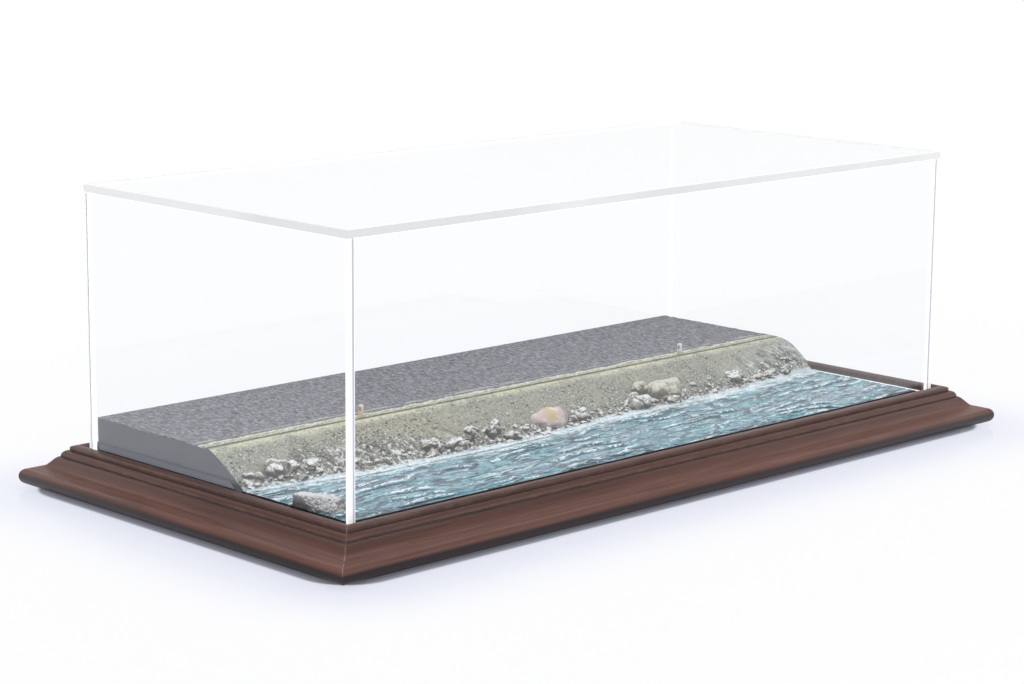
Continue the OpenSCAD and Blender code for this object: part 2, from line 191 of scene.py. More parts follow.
def modify(piece, kind, **settings):
    """Adds one modifier and applies it."""
    select_only(piece)
    modifier = piece.modifiers.new(kind.title(), kind)
    for key, value in settings.items():
        setattr(modifier, key, value)
    bpy.ops.object.modifier_apply(modifier=modifier.name)


def texture(kind, size, **settings):
    """A procedural texture for the displace modifier, with features of size metres."""
    made = bpy.data.textures.new(kind.lower(), kind)
    made.noise_scale = size
    for key, value in settings.items():
        setattr(made, key, value)
    return made


def clouds(size, depth):
    """Soft lumps of size metres, for displace."""
    return texture("CLOUDS", size, noise_depth=depth)


def crags(size):
    """Broken facets of size metres, for displace."""
    return texture("VORONOI", size, weight_1=-1, weight_2=1)


def displace(piece, tex, strength, group="", direction="NORMAL", middle=0.5, stretch=None):
    """Moves a piece's surface by a texture, which stretch draws out along X, Y and Z."""
    settings = {
        "texture": tex, "strength": strength, "mid_level": middle,
        "direction": direction, "vertex_group": group, "texture_coords": "LOCAL",
    }
    guide = None
    if stretch:
        guide = bpy.data.objects.new("guide", None)
        bpy.context.scene.collection.objects.link(guide)
        guide.scale = stretch
        bpy.context.view_layer.update()
        settings.update(texture_coords="OBJECT", texture_coords_object=guide)
    modify(piece, "DISPLACE", **settings)
    if guide:
        bpy.data.objects.remove(guide)
    bpy.data.textures.remove(tex)


def weigh(piece, group, weight):
    """Gives a piece a vertex group with weight(co) at each vertex."""
    made = piece.vertex_groups.new(name=group)
    for v in piece.data.vertices:
        made.add([v.index], weight(v.co), "REPLACE")


def keep_values(piece, name, values):
    """Gives a piece a named value at each vertex, for its material to read."""
    layer = piece.data.attributes.new(name, "FLOAT", "POINT")
    layer.data.foreach_set("value", values)


def value_map(piece, name, value):
    """Gives a piece the named value(co) at each vertex."""
    keep_values(piece, name, [value(v.co) for v in piece.data.vertices])


def proud_map(piece, passes):
    """Keeps how far each vertex stands proud, in mm, of what smoothing would leave."""
    worn = piece.copy()
    worn.data = piece.data.copy()
    bpy.context.scene.collection.objects.link(worn)
    modify(worn, "SMOOTH", factor=0.5, iterations=passes)
    pairs = zip(piece.data.vertices, worn.data.vertices)
    keep_values(piece, "proud", [(a.co - b.co).dot(a.normal) / MM for a, b in pairs])
    bpy.data.objects.remove(worn)


def ease(piece, width, segments, angle):
    """Rounds the edges that are sharper than angle, in degrees."""
    modify(piece, "BEVEL", width=width, segments=segments, limit_method="ANGLE",
           angle_limit=math.radians(angle))


def smooth(piece, angle):
    """Smooth shading, with edges sharper than angle kept, in degrees."""
    select_only(piece)
    bpy.ops.object.shade_smooth_by_angle(angle=math.radians(angle))


def from_node(node, name):
    """A piece that starts as the clean mesh of a model node."""
    piece = bpy.data.objects.new(name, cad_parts[node].data.copy())
    piece.data.name = name
    bpy.context.scene.collection.objects.link(piece)
    select_only(piece)
    bpy.ops.object.mode_set(mode="EDIT")
    bpy.ops.mesh.select_all(action="SELECT")
    bpy.ops.mesh.remove_doubles(threshold=0.001 * MM)
    bpy.ops.mesh.dissolve_limited(angle_limit=math.radians(0.4))
    bpy.ops.object.mode_set(mode="OBJECT")
    return piece


def box_piece(name, low, high, edge):
    """A sheet or block between two corners, with flat faces and eased edges."""
    bpy.ops.mesh.primitive_cube_add(size=1, location=(low + high) / 2)
    piece = named(name)
    piece.scale = high - low
    place(piece)
    modify(piece, "BEVEL", width=edge, segments=3, limit_method="NONE")
    return piece


def grid_piece(name, low, high, z, step):
    """A level grid between two corners, with squares of about step."""
    size = high - low
    bpy.ops.mesh.primitive_grid_add(
        x_subdivisions=max(round(size.x / step), 1), y_subdivisions=max(round(size.y / step), 1),
        size=1, location=((low.x + high.x) / 2, (low.y + high.y) / 2, z))
    piece = named(name)
    piece.scale = (size.x, size.y, 1)
    place(piece)
    return piece


def close_below(piece, z):
    """Turns a surface into a closed solid whose flat underside is at height z."""
    select_only(piece)
    bpy.ops.object.mode_set(mode="EDIT")
    bpy.ops.mesh.select_mode(type="EDGE")
    bpy.ops.mesh.select_all(action="DESELECT")
    bpy.ops.mesh.select_non_manifold(
        extend=False, use_wire=False, use_boundary=True, use_multi_face=False,
        use_non_contiguous=False, use_verts=False)
    bpy.ops.mesh.extrude_region_move()
    bpy.ops.transform.resize(value=(1, 1, 0), center_override=(0, 0, z))
    bpy.ops.mesh.edge_face_add()
    bpy.ops.mesh.select_all(action="SELECT")
    bpy.ops.mesh.normals_make_consistent(inside=False)
    bpy.ops.object.mode_set(mode="OBJECT")


def loose_boxes(node):
    """(lowest corner, highest corner) of each separate solid in a model node."""
    piece = from_node(node, "loose")
    select_only(piece)
    bpy.ops.mesh.separate(type="LOOSE")
    parts = list(bpy.context.selected_objects)
    boxes = []
    for part in parts:
        corners = [v.co.copy() for v in part.data.vertices]
        boxes.append((
            Vector([min(c[i] for c in corners) for i in range(3)]),
            Vector([max(c[i] for c in corners) for i in range(3)])))
        bpy.data.objects.remove(part)
    return sorted(boxes, key=lambda b: (b[0].x, b[0].y))


def join(name, parts):
    """One piece from several."""
    select_only(*parts)
    bpy.ops.object.join()
    return named(name)


def dress(piece, finish, body, slot, *nodes):
    """Gives a piece its material and the body it rides on, and hides the nodes it stands for;
    slot is not used.
    """
    piece.data.materials.clear()
    piece.data.materials.append(finish)
    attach(piece, body)
    if nodes:
        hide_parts(*nodes)


def finish_node(node, finish):
    """Gives a model node that stays as it is its material."""
    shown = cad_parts[node]
    shown.data.materials.clear()
    shown.data.materials.append(finish)


# ---- Material helpers -------------------------------------------------------

class Graph:
    """A node tree being built, with short calls for its nodes."""

    def __init__(self, tree):
        self.tree = tree

    def give(self, socket, value):
        """Sets a socket from a number, a colour, its hex code or another node's output."""
        if isinstance(value, bpy.types.NodeSocket):
            self.tree.links.new(value, socket)
        elif socket.type == "RGBA":
            socket.default_value = (*(srgb(value) if isinstance(value, str) else value)[:3], 1)
        else:
            socket.default_value = value

    def node(self, kind, inputs=(), **settings):
        """Adds a shader node with these inputs and settings."""
        made = self.tree.nodes.new("ShaderNode" + kind)
        for key, value in settings.items():
            setattr(made, key, value)
        for key, value in dict(inputs).items():
            self.give(made.inputs[key], value)
        return made

    def maths(self, operation, a, b=0.0):
        """A maths node of two values."""
        return self.node("Math", {0: a, 1: b}, operation=operation).outputs[0]

    def plus(self, a, b):
        return self.maths("ADD", a, b)

    def minus(self, a, b):
        return self.maths("SUBTRACT", a, b)

    def times(self, a, b):
        return self.maths("MULTIPLY", a, b)

    def over(self, a, b):
        return self.maths("DIVIDE", a, b)

    def most(self, a, b):
        return self.maths("MAXIMUM", a, b)

    def least(self, a, b):
        return self.maths("MINIMUM", a, b)

    def size_of(self, a):
        """A value without its sign."""
        return self.maths("ABSOLUTE", a)

    def seen_share(self):
        """1 for rays that show the background: from the camera, off gloss and through glass."""
        path = self.node("LightPath").outputs
        seen = self.most(path["Is Camera Ray"], path["Is Glossy Ray"])
        seen = self.most(seen, path["Is Transmission Ray"])
        return self.times(seen, self.maths("LESS_THAN", path["Diffuse Depth"], 0.5))

    def show(self, share, first, second, output="Material Output"):
        """Shows the first shader, and the second one where share is 1."""
        both = self.node("MixShader", {0: share, 1: first, 2: second})
        self.give(self.tree.nodes[output].inputs["Surface"], both.outputs[0])


class Finish(Graph):
    """A material being built. Its patterns' sizes and its relief are in millimetres."""

    def __init__(self, name, roughness, **inputs):
        self.material = bpy.data.materials.new(name)
        self.material.use_nodes = True
        super().__init__(self.material.node_tree)
        self.shader = self.tree.nodes["Principled BSDF"]
        self.shader.inputs["Roughness"].default_value = roughness
        for key, value in inputs.items():
            socket = key.replace("_", " ").title().replace("Ior", "IOR")
            self.shader.inputs[socket].default_value = value
        self.coords = self.tree.nodes.new("ShaderNodeTexCoord")
        self.place = self.coords.outputs["Object"]
        self.colour = None

    def stretched(self, scale=(1, 1, 1), shift=(0, 0, 0), turn=0, source=None):
        """The place on the piece, drawn out where scale is under 1."""
        made = self.node("Mapping", {
            "Vector": source or self.place, "Scale": scale, "Location": shift,
            "Rotation": (0, 0, turn)})
        return made.outputs["Vector"]

    def noise(self, size, detail=4.0, rough=0.5, distortion=0.0, vector=None):
        """Noise from 0 to 1 with features of this size."""
        made = self.node("TexNoise", {
            "Vector": vector or self.place, "Scale": 1 / (size * MM), "Detail": detail,
            "Roughness": rough, "Distortion": distortion})
        return made.outputs["Fac"]

    def cells(self, size, feature="F1", vector=None, output="Distance"):
        """Cells of this size: the distance from their middles or edges, or their colour."""
        made = self.node("TexVoronoi", {
            "Vector": vector or self.place, "Scale": 1 / (size * MM)}, feature=feature)
        return made.outputs[output]

    def warped(self, size, amount):
        """The place on the piece, pushed about by noise."""
        push = self.node("TexNoise", {
            "Vector": self.place, "Scale": 1 / (size * MM), "Detail": 3.0}).outputs["Color"]
        centred = self.node(
            "VectorMath", {0: push, 1: (0.5, 0.5, 0.5)}, operation="SUBTRACT").outputs[0]
        scaled = self.node(
            "VectorMath", {0: centred, "Scale": amount * MM}, operation="SCALE").outputs[0]
        return self.node("VectorMath", {0: self.place, 1: scaled}, operation="ADD").outputs[0]

    def band(self, value, low, high, to_low=0.0, to_high=1.0):
        """Maps low..high smoothly onto to_low..to_high and holds the ends."""
        made = self.node("MapRange", {
            "Value": value, "From Min": low, "From Max": high,
            "To Min": to_low, "To Max": to_high}, interpolation_type="SMOOTHSTEP", clamp=True)
        return made.outputs["Result"]

    def mix(self, share, a, b, blend="MIX"):
        """Colour a, and colour b where share is 1."""
        made = self.node("Mix", {0: share, 6: a, 7: b}, data_type="RGBA", blend_type=blend)
        return made.outputs[2]

    def paint(self, share, colour, blend="MIX"):
        """Lays a colour over what is there already, where share is 1."""
        self.colour = self.mix(share, self.colour, colour, blend)

    def axis(self, name, source=None):
        """One axis of the place on the piece."""
        return self.node("SeparateXYZ", {"Vector": source or self.place}).outputs[name]

    def mm(self, metres):
        """A length in millimetres."""
        return self.over(metres, MM)

    def facing_up(self):
        """How far the surface faces up, from -1 to 1."""
        return self.axis("Z", self.coords.outputs["Normal"])

    def value_of(self, name):
        """A named value that the piece carries."""
        return self.node("Attribute", attribute_name=name).outputs["Fac"]

    def bump(self, height, distance, strength=1.0, under=None):
        """Relief of this depth, on top of the relief under it."""
        made = self.node("Bump", {
            "Height": height, "Distance": distance * MM, "Strength": strength})
        if under:
            self.give(made.inputs["Normal"], under)
        return made.outputs["Normal"]

    def done(self, normal=None, roughness=None):
        """Joins the colour, relief and roughness to the shader and returns the material."""
        for name, value in (
                ("Base Color", self.colour), ("Roughness", roughness), ("Normal", normal)):
            if value is not None:
                self.give(self.shader.inputs[name], value)
        return self.material


# ---- Materials --------------------------------------------------------------

def stained_wood(colours):
    """Dark stained and lacquered wood. The grain runs along each rail."""
    f = Finish("stained wood", 0.36, specular_ior_level=0.3)
    x, y = f.axis("X"), f.axis("Y")
    out_x = f.minus(f.size_of(x), COVER_X)
    out_y = f.minus(f.size_of(y), COVER_Y)
    side = f.maths("GREATER_THAN", out_x, out_y)
    turned = f.stretched(turn=math.radians(90))
    along = f.mix(side, f.place, turned)
    fibre = f.noise(1.3, 6, 0.6, 0.4, f.stretched((0.03, 1, 1), source=along))
    cloud = f.noise(24, 3, 0.5, 0.6, f.stretched((0.2, 1, 1), source=along))
    pores = f.noise(0.35, 2, 0.5, 0, f.stretched((0.05, 1, 1), source=along))
    f.colour = f.mix(f.band(fibre, 0.3, 0.72), colours.wood_dark, colours.wood)
    f.paint(f.times(f.band(cloud, 0.4, 0.75), 0.6), "#7d5043")
    f.paint(f.times(f.band(pores, 0.66, 0.76), 0.35), "#3c2520")
    # The upper mouldings are painted darker, and the steps between them darker still: painted
    # shade.
    level = f.mm(f.minus(f.axis("Z"), RAIL_LOW))
    upper_shade = (0.55, 0.52, 0.53)
    f.paint(f.band(level, 6.2, 9.6, 0.16, 1), upper_shade, "MULTIPLY")
    for step, width in ((13.8, 0.7), (10.9, 0.4)):
        near = f.size_of(f.minus(level, step))
        f.paint(f.band(near, width, 0.5 * width, 0, 0.7), "#241512")
    # Pale lines along the crowns of the mouldings are painted highlight with some wear, and the
    # stain is rubbed through at the mitres.
    out = f.most(out_x, out_y)
    mitre = f.size_of(f.minus(out_x, out_y))
    rubbed = f.band(f.noise(7, 5, 0.7), 0.4, 0.72, 0.25, 0.75)
    wear = 0.0
    for crown, width in ((1.1, 0.3), (5.2, 0.22), (7.7, 0.25), (16.9, 0.35)):
        near = f.size_of(f.minus(out, crown * MM))
        wear = f.most(wear, f.band(near, width * MM, 0.05 * MM, 0, 0.34))
    wear = f.times(wear, rubbed)
    chipped = f.band(f.noise(2.5, 3, 0.6), 0.42, 0.6, 0.1, 0.75)
    corner = f.times(f.band(mitre, 0.55 * MM, 0.1 * MM), chipped)
    f.paint(f.most(wear, corner), "#a88577")
    # The underside of the nose is nearly black: painted shade.
    f.paint(f.times(f.band(level, 4.9, 3.3), 0.85), "#1d1a1e")
    rough = f.band(fibre, 0.2, 0.8, 0.44, 0.34)
    grain = f.bump(fibre, 0.03, 0.4)
    return f.done(f.bump(pores, 0.02, 0.3, grain), rough)


def panel_board():
    """The dark painted board that closes the plinth."""
    f = Finish("base board", 0.7)
    speck = f.noise(0.8, 5, 0.6)
    f.colour = f.mix(f.band(speck, 0.35, 0.7), "#1d1817", "#2e2725")
    return f.done(f.bump(speck, 0.05, 0.5), f.band(speck, 0.2, 0.8, 0.6, 0.8))


def spline_wood():
    """Pale hardwood of the splines in the mitres."""
    f = Finish("spline wood", 0.55)
    fibre = f.noise(0.9, 5, 0.6, 0.3, f.stretched((1, 1, 0.08)))
    f.colour = f.mix(f.band(fibre, 0.3, 0.7), "#8a6246", "#b58a66")
    return f.done(f.bump(fibre, 0.03, 0.5))


def screw_brass():
    """Dull brass of the screws."""
    f = Finish("screw brass", 0.32, metallic=1.0)
    wear = f.noise(0.9, 4, 0.6)
    f.colour = f.mix(f.band(wear, 0.35, 0.7), "#a8803c", "#d2b06a")
    return f.done(f.bump(wear, 0.02, 0.4), f.band(wear, 0.3, 0.7, 0.25, 0.45))


def felt():
    """Black felt of the feet."""
    f = Finish("felt", 0.95, sheen_weight=0.5)
    fluff = f.noise(0.35, 6, 0.75)
    f.colour = f.mix(f.band(fluff, 0.3, 0.7), "#141315", "#37343a")
    return f.done(f.bump(fluff, 0.2, 0.8))


def clear_acrylic(colours, name="clear acrylic", bending=1.49):
    """Polished clear acrylic, which lets lamps through to what it covers."""
    f = Finish(name, 0.0, ior=bending, transmission_weight=1.0,
               base_color=(*colours.acrylic, 1))
    f.tree.nodes.remove(f.coords)
    clear = f.node("BsdfTransparent", {"Color": "#f4fafc"})
    shadow = f.node("LightPath").outputs["Is Shadow Ray"]
    f.show(shadow, f.shader.outputs[0], clear.outputs[0])
    return f.material


def polished_edge(name, dull, bright, glow, shaded=0.0, warm=False):
    """A sawn and polished edge of a sheet, pale and glowing: painted light for the light it
    gathers from all sides.

    Shaded greys the inner side of an end sheet's edges with painted shade.
    """
    f = Finish(name, 0.25, emission_strength=glow)
    glow_colour = (1, 0.99, 0.93, 1) if warm else (0.97, 0.97, 1, 1)
    f.shader.inputs["Emission Color"].default_value = glow_colour
    cloud = f.noise(45, 3, 0.5)
    saw = f.noise(0.5, 3, 0.6, 0, f.stretched((0.3, 0.3, 1)))
    f.colour = f.mix(f.band(cloud, 0.35, 0.65), dull, bright)
    if shaded:
        # Painted shade on the inner side of an end sheet's edge, where the glow fades too.
        inwards = f.mm(f.minus(COVER_X, f.size_of(f.axis("X"))))
        f.paint(f.band(inwards, 1.8, 2.3, 0, shaded), "#8f98a1")
        fading = f.band(inwards, 1.8, 2.3, glow, (1 - shaded) * glow)
        f.give(f.shader.inputs["Emission Strength"], fading)
    return f.done(f.bump(saw, 0.01, 0.3), f.band(saw, 0.3, 0.7, 0.2, 0.32))


def black_board():
    """Black paint on the board under the diorama, rubbed at places."""
    f = Finish("black board", 0.45)
    wear = f.noise(2.5, 6, 0.7)
    f.colour = f.mix(f.band(wear, 0.55, 0.8), "#0b0c0d", "#262829")
    return f.done(f.bump(wear, 0.03, 0.4), f.band(wear, 0.3, 0.8, 0.35, 0.6))


def painted_core(colours):
    """Smooth grey paint over the block that carries the road."""
    f = Finish("painted core", 0.7, specular_ior_level=0.25)
    cloud = f.noise(12, 4, 0.55)
    brush = f.noise(0.6, 4, 0.6)
    f.colour = f.mix(f.band(cloud, 0.3, 0.7), "#6a6a71", colours.core)
    f.paint(f.band(brush, 0.5, 0.75, 0, 0.18), "#83838b")
    foot = f.minus(f.axis("Z"), GROUND)
    # A lighter band along the foot: painted light.
    f.paint(f.band(foot, 3.5 * MM, 2.1 * MM, 0, 0.9), "#a5a5ae")
    # A near-black line at the very foot: painted shadow.
    f.paint(f.band(foot, 0.8 * MM, 0.5 * MM, 0, 0.9), "#141416")
    return f.done(f.bump(brush, 0.02, 0.3))


def asphalt(colours):
    """Fine grit in a grey-violet binder, with gravel spilled along its front edge."""
    f = Finish("asphalt", 0.9, specular_ior_level=0.2)
    grit = f.noise(0.9, 3, 0.65, 0, f.stretched((1.4, 0.45, 1)))
    coarse = f.noise(2, 3, 0.75, 0, f.stretched((1.7, 0.4, 1)))
    patch = f.noise(16, 5, 0.6, 0.5)
    tyre = f.noise(4, 4, 0.6, 0.3, f.stretched((0.05, 1, 1)))
    f.colour = f.mix(f.band(patch, 0.3, 0.7), "#6e6c72", colours.road)
    f.paint(f.band(tyre, 0.42, 0.7, 0, 0.25), "#84828a")
    f.paint(f.band(coarse, 0.5, 0.58, 0, 0.8), "#9a989f")
    f.paint(f.band(coarse, 0.48, 0.4, 0, 0.8), "#4c4a51")
    f.paint(f.band(grit, 0.44, 0.34, 0, 0.9), "#403e46")
    f.paint(f.band(grit, 0.56, 0.64, 0, 0.9), "#bebcc2")
    crack = f.cells(60, "DISTANCE_TO_EDGE", f.stretched(
        (0.3, 1, 1), (3 * MM, 0, 0), source=f.warped(7, 4)))
    broken = f.band(f.noise(25, 2, 0.5), 0.5, 0.6, 0, 0.4)
    f.paint(f.times(f.band(crack, 0.008, 0.003), broken), "#45444b")
    # Gravel lies loose on the last few millimetres before the verge.
    inwards = f.mm(f.minus(f.axis("Y"), ROAD_EDGE))
    loose = f.noise(0.8, 4, 0.7)
    reach = f.band(f.noise(9, 4, 0.6), 0.3, 0.7, 0.4, 4.2)
    near = f.band(f.over(inwards, reach), 1, 0.1)
    spill = f.band(f.plus(loose, f.times(near, 0.35)), 0.6, 0.74)
    f.paint(f.times(spill, 0.85), "#bdb9ae")
    rough = f.band(grit, 0.2, 0.8, 0.95, 0.8)
    surface = f.bump(coarse, 0.12, 0.6)
    return f.done(f.bump(grit, 0.12, 0.8, surface), rough)


def verge_gravel(colours):
    """Pale gravel with dark stones, mossy along its outer edge."""
    f = Finish("verge gravel", 0.92, specular_ior_level=0.2)
    stone = f.cells(0.75, output="Color")
    tone = f.axis("X", stone)
    gaps = f.cells(0.75)
    patch = f.noise(6, 5, 0.65)
    out = f.mm(f.minus(f.axis("Y"), CREST))
    ragged = f.plus(out, f.band(patch, 0.25, 0.75, -1.3, 1.3))
    f.colour = f.mix(f.band(patch, 0.35, 0.65), "#a3a196", "#bbb8a8")
    # Moss grows next to the dark line at the crest, and pale gravel lies beyond it.
    f.paint(f.band(ragged, 2.6, 1.6, 0, 0.85), "#d8d4ae")
    f.paint(f.band(ragged, 2.7, 3.9, 0, 0.95), colours.verge)
    f.paint(f.band(tone, 0.72, 0.9, 0, 0.5), "#74716a")
    f.paint(f.band(tone, 0.32, 0.12, 0, 0.8), "#e6e3d9")
    # Darker in the gaps between the stones: painted shade.
    f.paint(f.band(gaps, 0.5, 0.75, 0, 0.4), "#5f5c54")
    # Binder from the road has run over the inner edge.
    binder = f.mix(f.band(tone, 0.2, 0.8), "#5d5b62", "#86848b")
    f.paint(f.band(ragged, 4.9, 5.8, 0, 0.95), binder)
    # A dark line along the crest: painted shadow under the verge's edge.
    f.paint(f.band(out, 1.1, 0.5, 0, 0.85), "#504d36")
    return f.done(f.bump(gaps, 0.25, 0.9))


def ground_cover(colours):
    """Dry ground cover: moss at the crest, speckled slope, brushed rock at the foot."""
    f = Finish("ground cover", 0.95, specular_ior_level=0.15)
    inland = f.mm(f.value_of("inland"))
    below = f.mm(f.value_of("below_crest"))
    proud = f.value_of("proud")
    x = f.mm(f.axis("X"))
    patch = f.noise(13, 5, 0.62, 0.5)
    small = f.noise(2.8, 5, 0.68)
    fine = f.noise(1.1, 3, 0.62)
    finer = f.noise(0.8, 2, 0.5)
    streak = f.noise(1.2, 4, 0.68, 0.3, f.stretched((1, 0.16, 0.22)))
    f.colour = f.mix(f.band(patch, 0.32, 0.68), "#929084", colours.cover)
    f.paint(f.band(small, 0.5, 0.74, 0, 0.55), "#b4b4a0")
    f.paint(f.band(small, 0.44, 0.3, 0, 0.4), "#74776a")
    f.paint(f.band(streak, 0.54, 0.75, 0, 0.45), "#bebdad")
    # Split rock runs down the slope left of the middle and at the right end.
    slash = f.noise(3.4, 4, 0.62, 0.5, f.stretched(
        (0.22, 1, 1), source=f.stretched(turn=math.radians(52))))
    # Ochre ground left of the middle, bleached ground at the right end.
    ochre = f.times(f.band(x, -120, -95), f.band(x, -40, -62))
    f.paint(f.times(ochre, f.band(small, 0.3, 0.7, 0.1, 0.5)), "#b3a685")
    bleached = f.times(f.band(x, 95, 150), f.band(streak, 0.4, 0.65, 0.1, 0.75))
    f.paint(bleached, "#c3c5c6")
    # Rock shows through towards the foot. Its reach rises and falls along the shore.
    reach = f.plus(f.times(patch, 13), f.band(x, -142, -125, 0, 9))
    reach = f.minus(reach, f.band(x, -85, -60, 0, 9))
    rocky = f.band(f.minus(inland, reach), 1.5, -3)
    rock = f.mix(f.band(small, 0.35, 0.65), "#6d6861", colours.rock)
    f.paint(rocky, rock)
    split = f.times(f.band(x, -140, -126), f.band(x, -50, -68))
    split = f.most(split, f.band(x, 88, 128, 0, 0.8))
    split = f.times(split, f.band(inland, 17, 9))
    # The split rock's dark streaks are painted shadow and its pale streaks painted highlight.
    f.paint(f.times(split, f.band(slash, 0.48, 0.38)), "#55534c")
    f.paint(f.times(split, f.band(slash, 0.54, 0.64)), "#e4e2de")
    # Darker in the hollows and white on what stands proud: washes and dry brushing, with painted
    # shade and painted highlight.
    hollow = f.band(f.plus(proud, f.band(fine, 0.3, 0.7, -0.08, 0.08)), -0.03, -0.2)
    f.paint(f.times(hollow, f.band(rocky, 0, 1, 0.35, 0.8)), "#3d3a36")
    ridge = f.plus(proud, f.band(streak, 0.35, 0.65, -0.12, 0.12))
    white = f.times(f.band(ridge, 0.04, 0.2), f.band(rocky, 0, 1, 0.12, 0.95))
    f.paint(white, "#eeecea")
    # Speckle: dark grit all over, denser left of the middle, and pale flecks.
    dense = f.times(f.band(x, -140, -120), f.band(x, -50, -70))
    limit = f.plus(f.band(patch, 0.3, 0.7, 0.45, 0.39), f.times(dense, 0.03))
    dark = f.band(f.minus(limit, fine), 0.0, 0.05)
    dark = f.times(dark, f.band(split, 0.2, 0.9, 0.9, 0.25))
    f.paint(dark, "#41423a")
    pale = f.times(f.band(finer, 0.57, 0.66), f.band(patch, 0.6, 0.35, 0.35, 0.85))
    f.paint(pale, "#ebebe0")
    # Foam has washed over the lowest ground.
    wet = f.band(f.plus(inland, f.times(small, 3)), 3.2, 2, 0, 0.8)
    f.paint(wet, colours.foam)
    # Pale yellow moss along the crest, under a painted shadow line beside the road.
    ragged = f.plus(below, f.times(small, 3.4))
    moss = f.times(f.band(ragged, 7.5, 2.8), f.band(patch, 0.34, 0.56, 0.3, 1))
    moss_tone = f.mix(f.band(fine, 0.36, 0.56), "#bfbaa0", colours.moss)
    f.paint(f.times(moss, 0.85), moss_tone)
    line = f.band(below, 0.9, 0.35)
    f.paint(f.times(line, 0.7), "#57543c")
    # The cut ends of the bank carry the same paint as the core.
    left, right = LEFT / MM, RIGHT / MM
    f.paint(f.most(f.band(x, left + 0.14, left + 0.1), f.band(x, right - 0.14, right - 0.1)),
            colours.core)
    lumps = f.bump(small, 0.5, 0.7)
    return f.done(f.bump(fine, 0.3, 0.9, lumps))


def water_gel(colours):
    """Brushed gel: turquoise and lilac slopes, painted shade on the waves' faces, white crests
    and foam.
    """
    f = Finish("water gel", 0.3, specular_ior_level=0.35, coat_weight=0.1, coat_roughness=0.12)
    offshore = f.mm(f.value_of("offshore"))
    pushed = f.warped(5, 4)
    patch = f.noise(12, 4, 0.6, 0.6, f.stretched((0.45, 1, 1)))
    stroke = f.noise(3, 4, 0.62, 0.9, f.stretched((0.32, 1, 1), source=pushed))
    thread = f.noise(1.3, 4, 0.6, 0.8, f.stretched((0.3, 1, 1), source=pushed))
    f.colour = f.mix(f.band(patch, 0.46, 0.64, 0, 0.85), colours.water, "#7f8ea8")
    f.paint(f.band(stroke, 0.51, 0.6, 0, 0.85), "#92c6ce")
    f.paint(f.band(stroke, 0.46, 0.37, 0, 0.95), "#26626f")
    f.paint(f.band(thread, 0.57, 0.66, 0, 0.8), "#cfeaf2")
    f.paint(f.band(thread, 0.44, 0.37, 0, 0.85), "#194a58")
    # Dark lines run between the ripples, painted shadow, with white along one side of them,
    # brushing and painted highlight.
    net = f.cells(7, "DISTANCE_TO_EDGE", f.stretched((0.4, 1, 1), source=pushed))
    torn = f.noise(6, 3, 0.6, 0, f.stretched((0.5, 1, 1), (9 * MM, 0, 0)))
    brushing_and_highlight = f.times(f.band(net, 0.3, 0.2), f.band(torn, 0.54, 0.64))
    f.paint(f.times(f.band(net, 0.13, 0.19), brushing_and_highlight), colours.foam)
    f.paint(f.times(f.band(net, 0.12, 0.04), f.band(torn, 0.4, 0.52, 0.15, 0.95)), "#173c4e")
    # Each wave's steep face under its crest gets painted shade, and its crest a white stroke
    # that is brushing and painted highlight.
    for name, dark, white in (("big", 1.0, 0.95), ("small", 0.85, 0.55)):
        fall, crest = f.value_of(name + "_fall"), f.value_of(name + "_crest")
        f.paint(f.times(f.band(fall, 0.25, 0.6), dark), colours.wave_shade)
        brushing_and_highlight = f.times(crest, f.band(thread, 0.38, 0.62))
        f.paint(f.times(f.band(brushing_and_highlight, 0.15, 0.5), white), colours.foam)
    # Foam fades out over the first millimetres off the shore.
    lace = f.noise(3, 5, 0.75, 0.8, f.stretched((0.6, 1, 1)))
    reach = f.plus(offshore, f.times(lace, 17))
    f.paint(f.band(reach, 15.2, 11.6, 0, 0.96), colours.foam)
    # The insert's sides are painted black.
    x, y = f.axis("X"), f.axis("Y")
    side = f.least(f.minus(y, FRONT), f.least(f.minus(x, LEFT), f.minus(RIGHT, x)))
    f.paint(f.band(side, 0.3 * MM, 0.12 * MM), "#0c0d0e")
    ripple = f.bump(stroke, 0.4, 0.6)
    return f.done(f.bump(thread, 0.14, 0.5, ripple))


def sea_foam(colours):
    """Lumpy white foam with pale blue hollows."""
    f = Finish("foam", 0.6, specular_ior_level=0.3)
    lump = f.noise(1.4, 5, 0.65)
    hollow = f.noise(3, 4, 0.6, 0.8, f.stretched((0.6, 1, 1)))
    f.colour = f.mix(f.band(lump, 0.3, 0.55), "#a9c1cb", colours.foam)
    f.paint(f.band(hollow, 0.44, 0.35, 0, 0.55), "#7fabb9")
    return f.done(f.bump(lump, 0.2, 0.7))


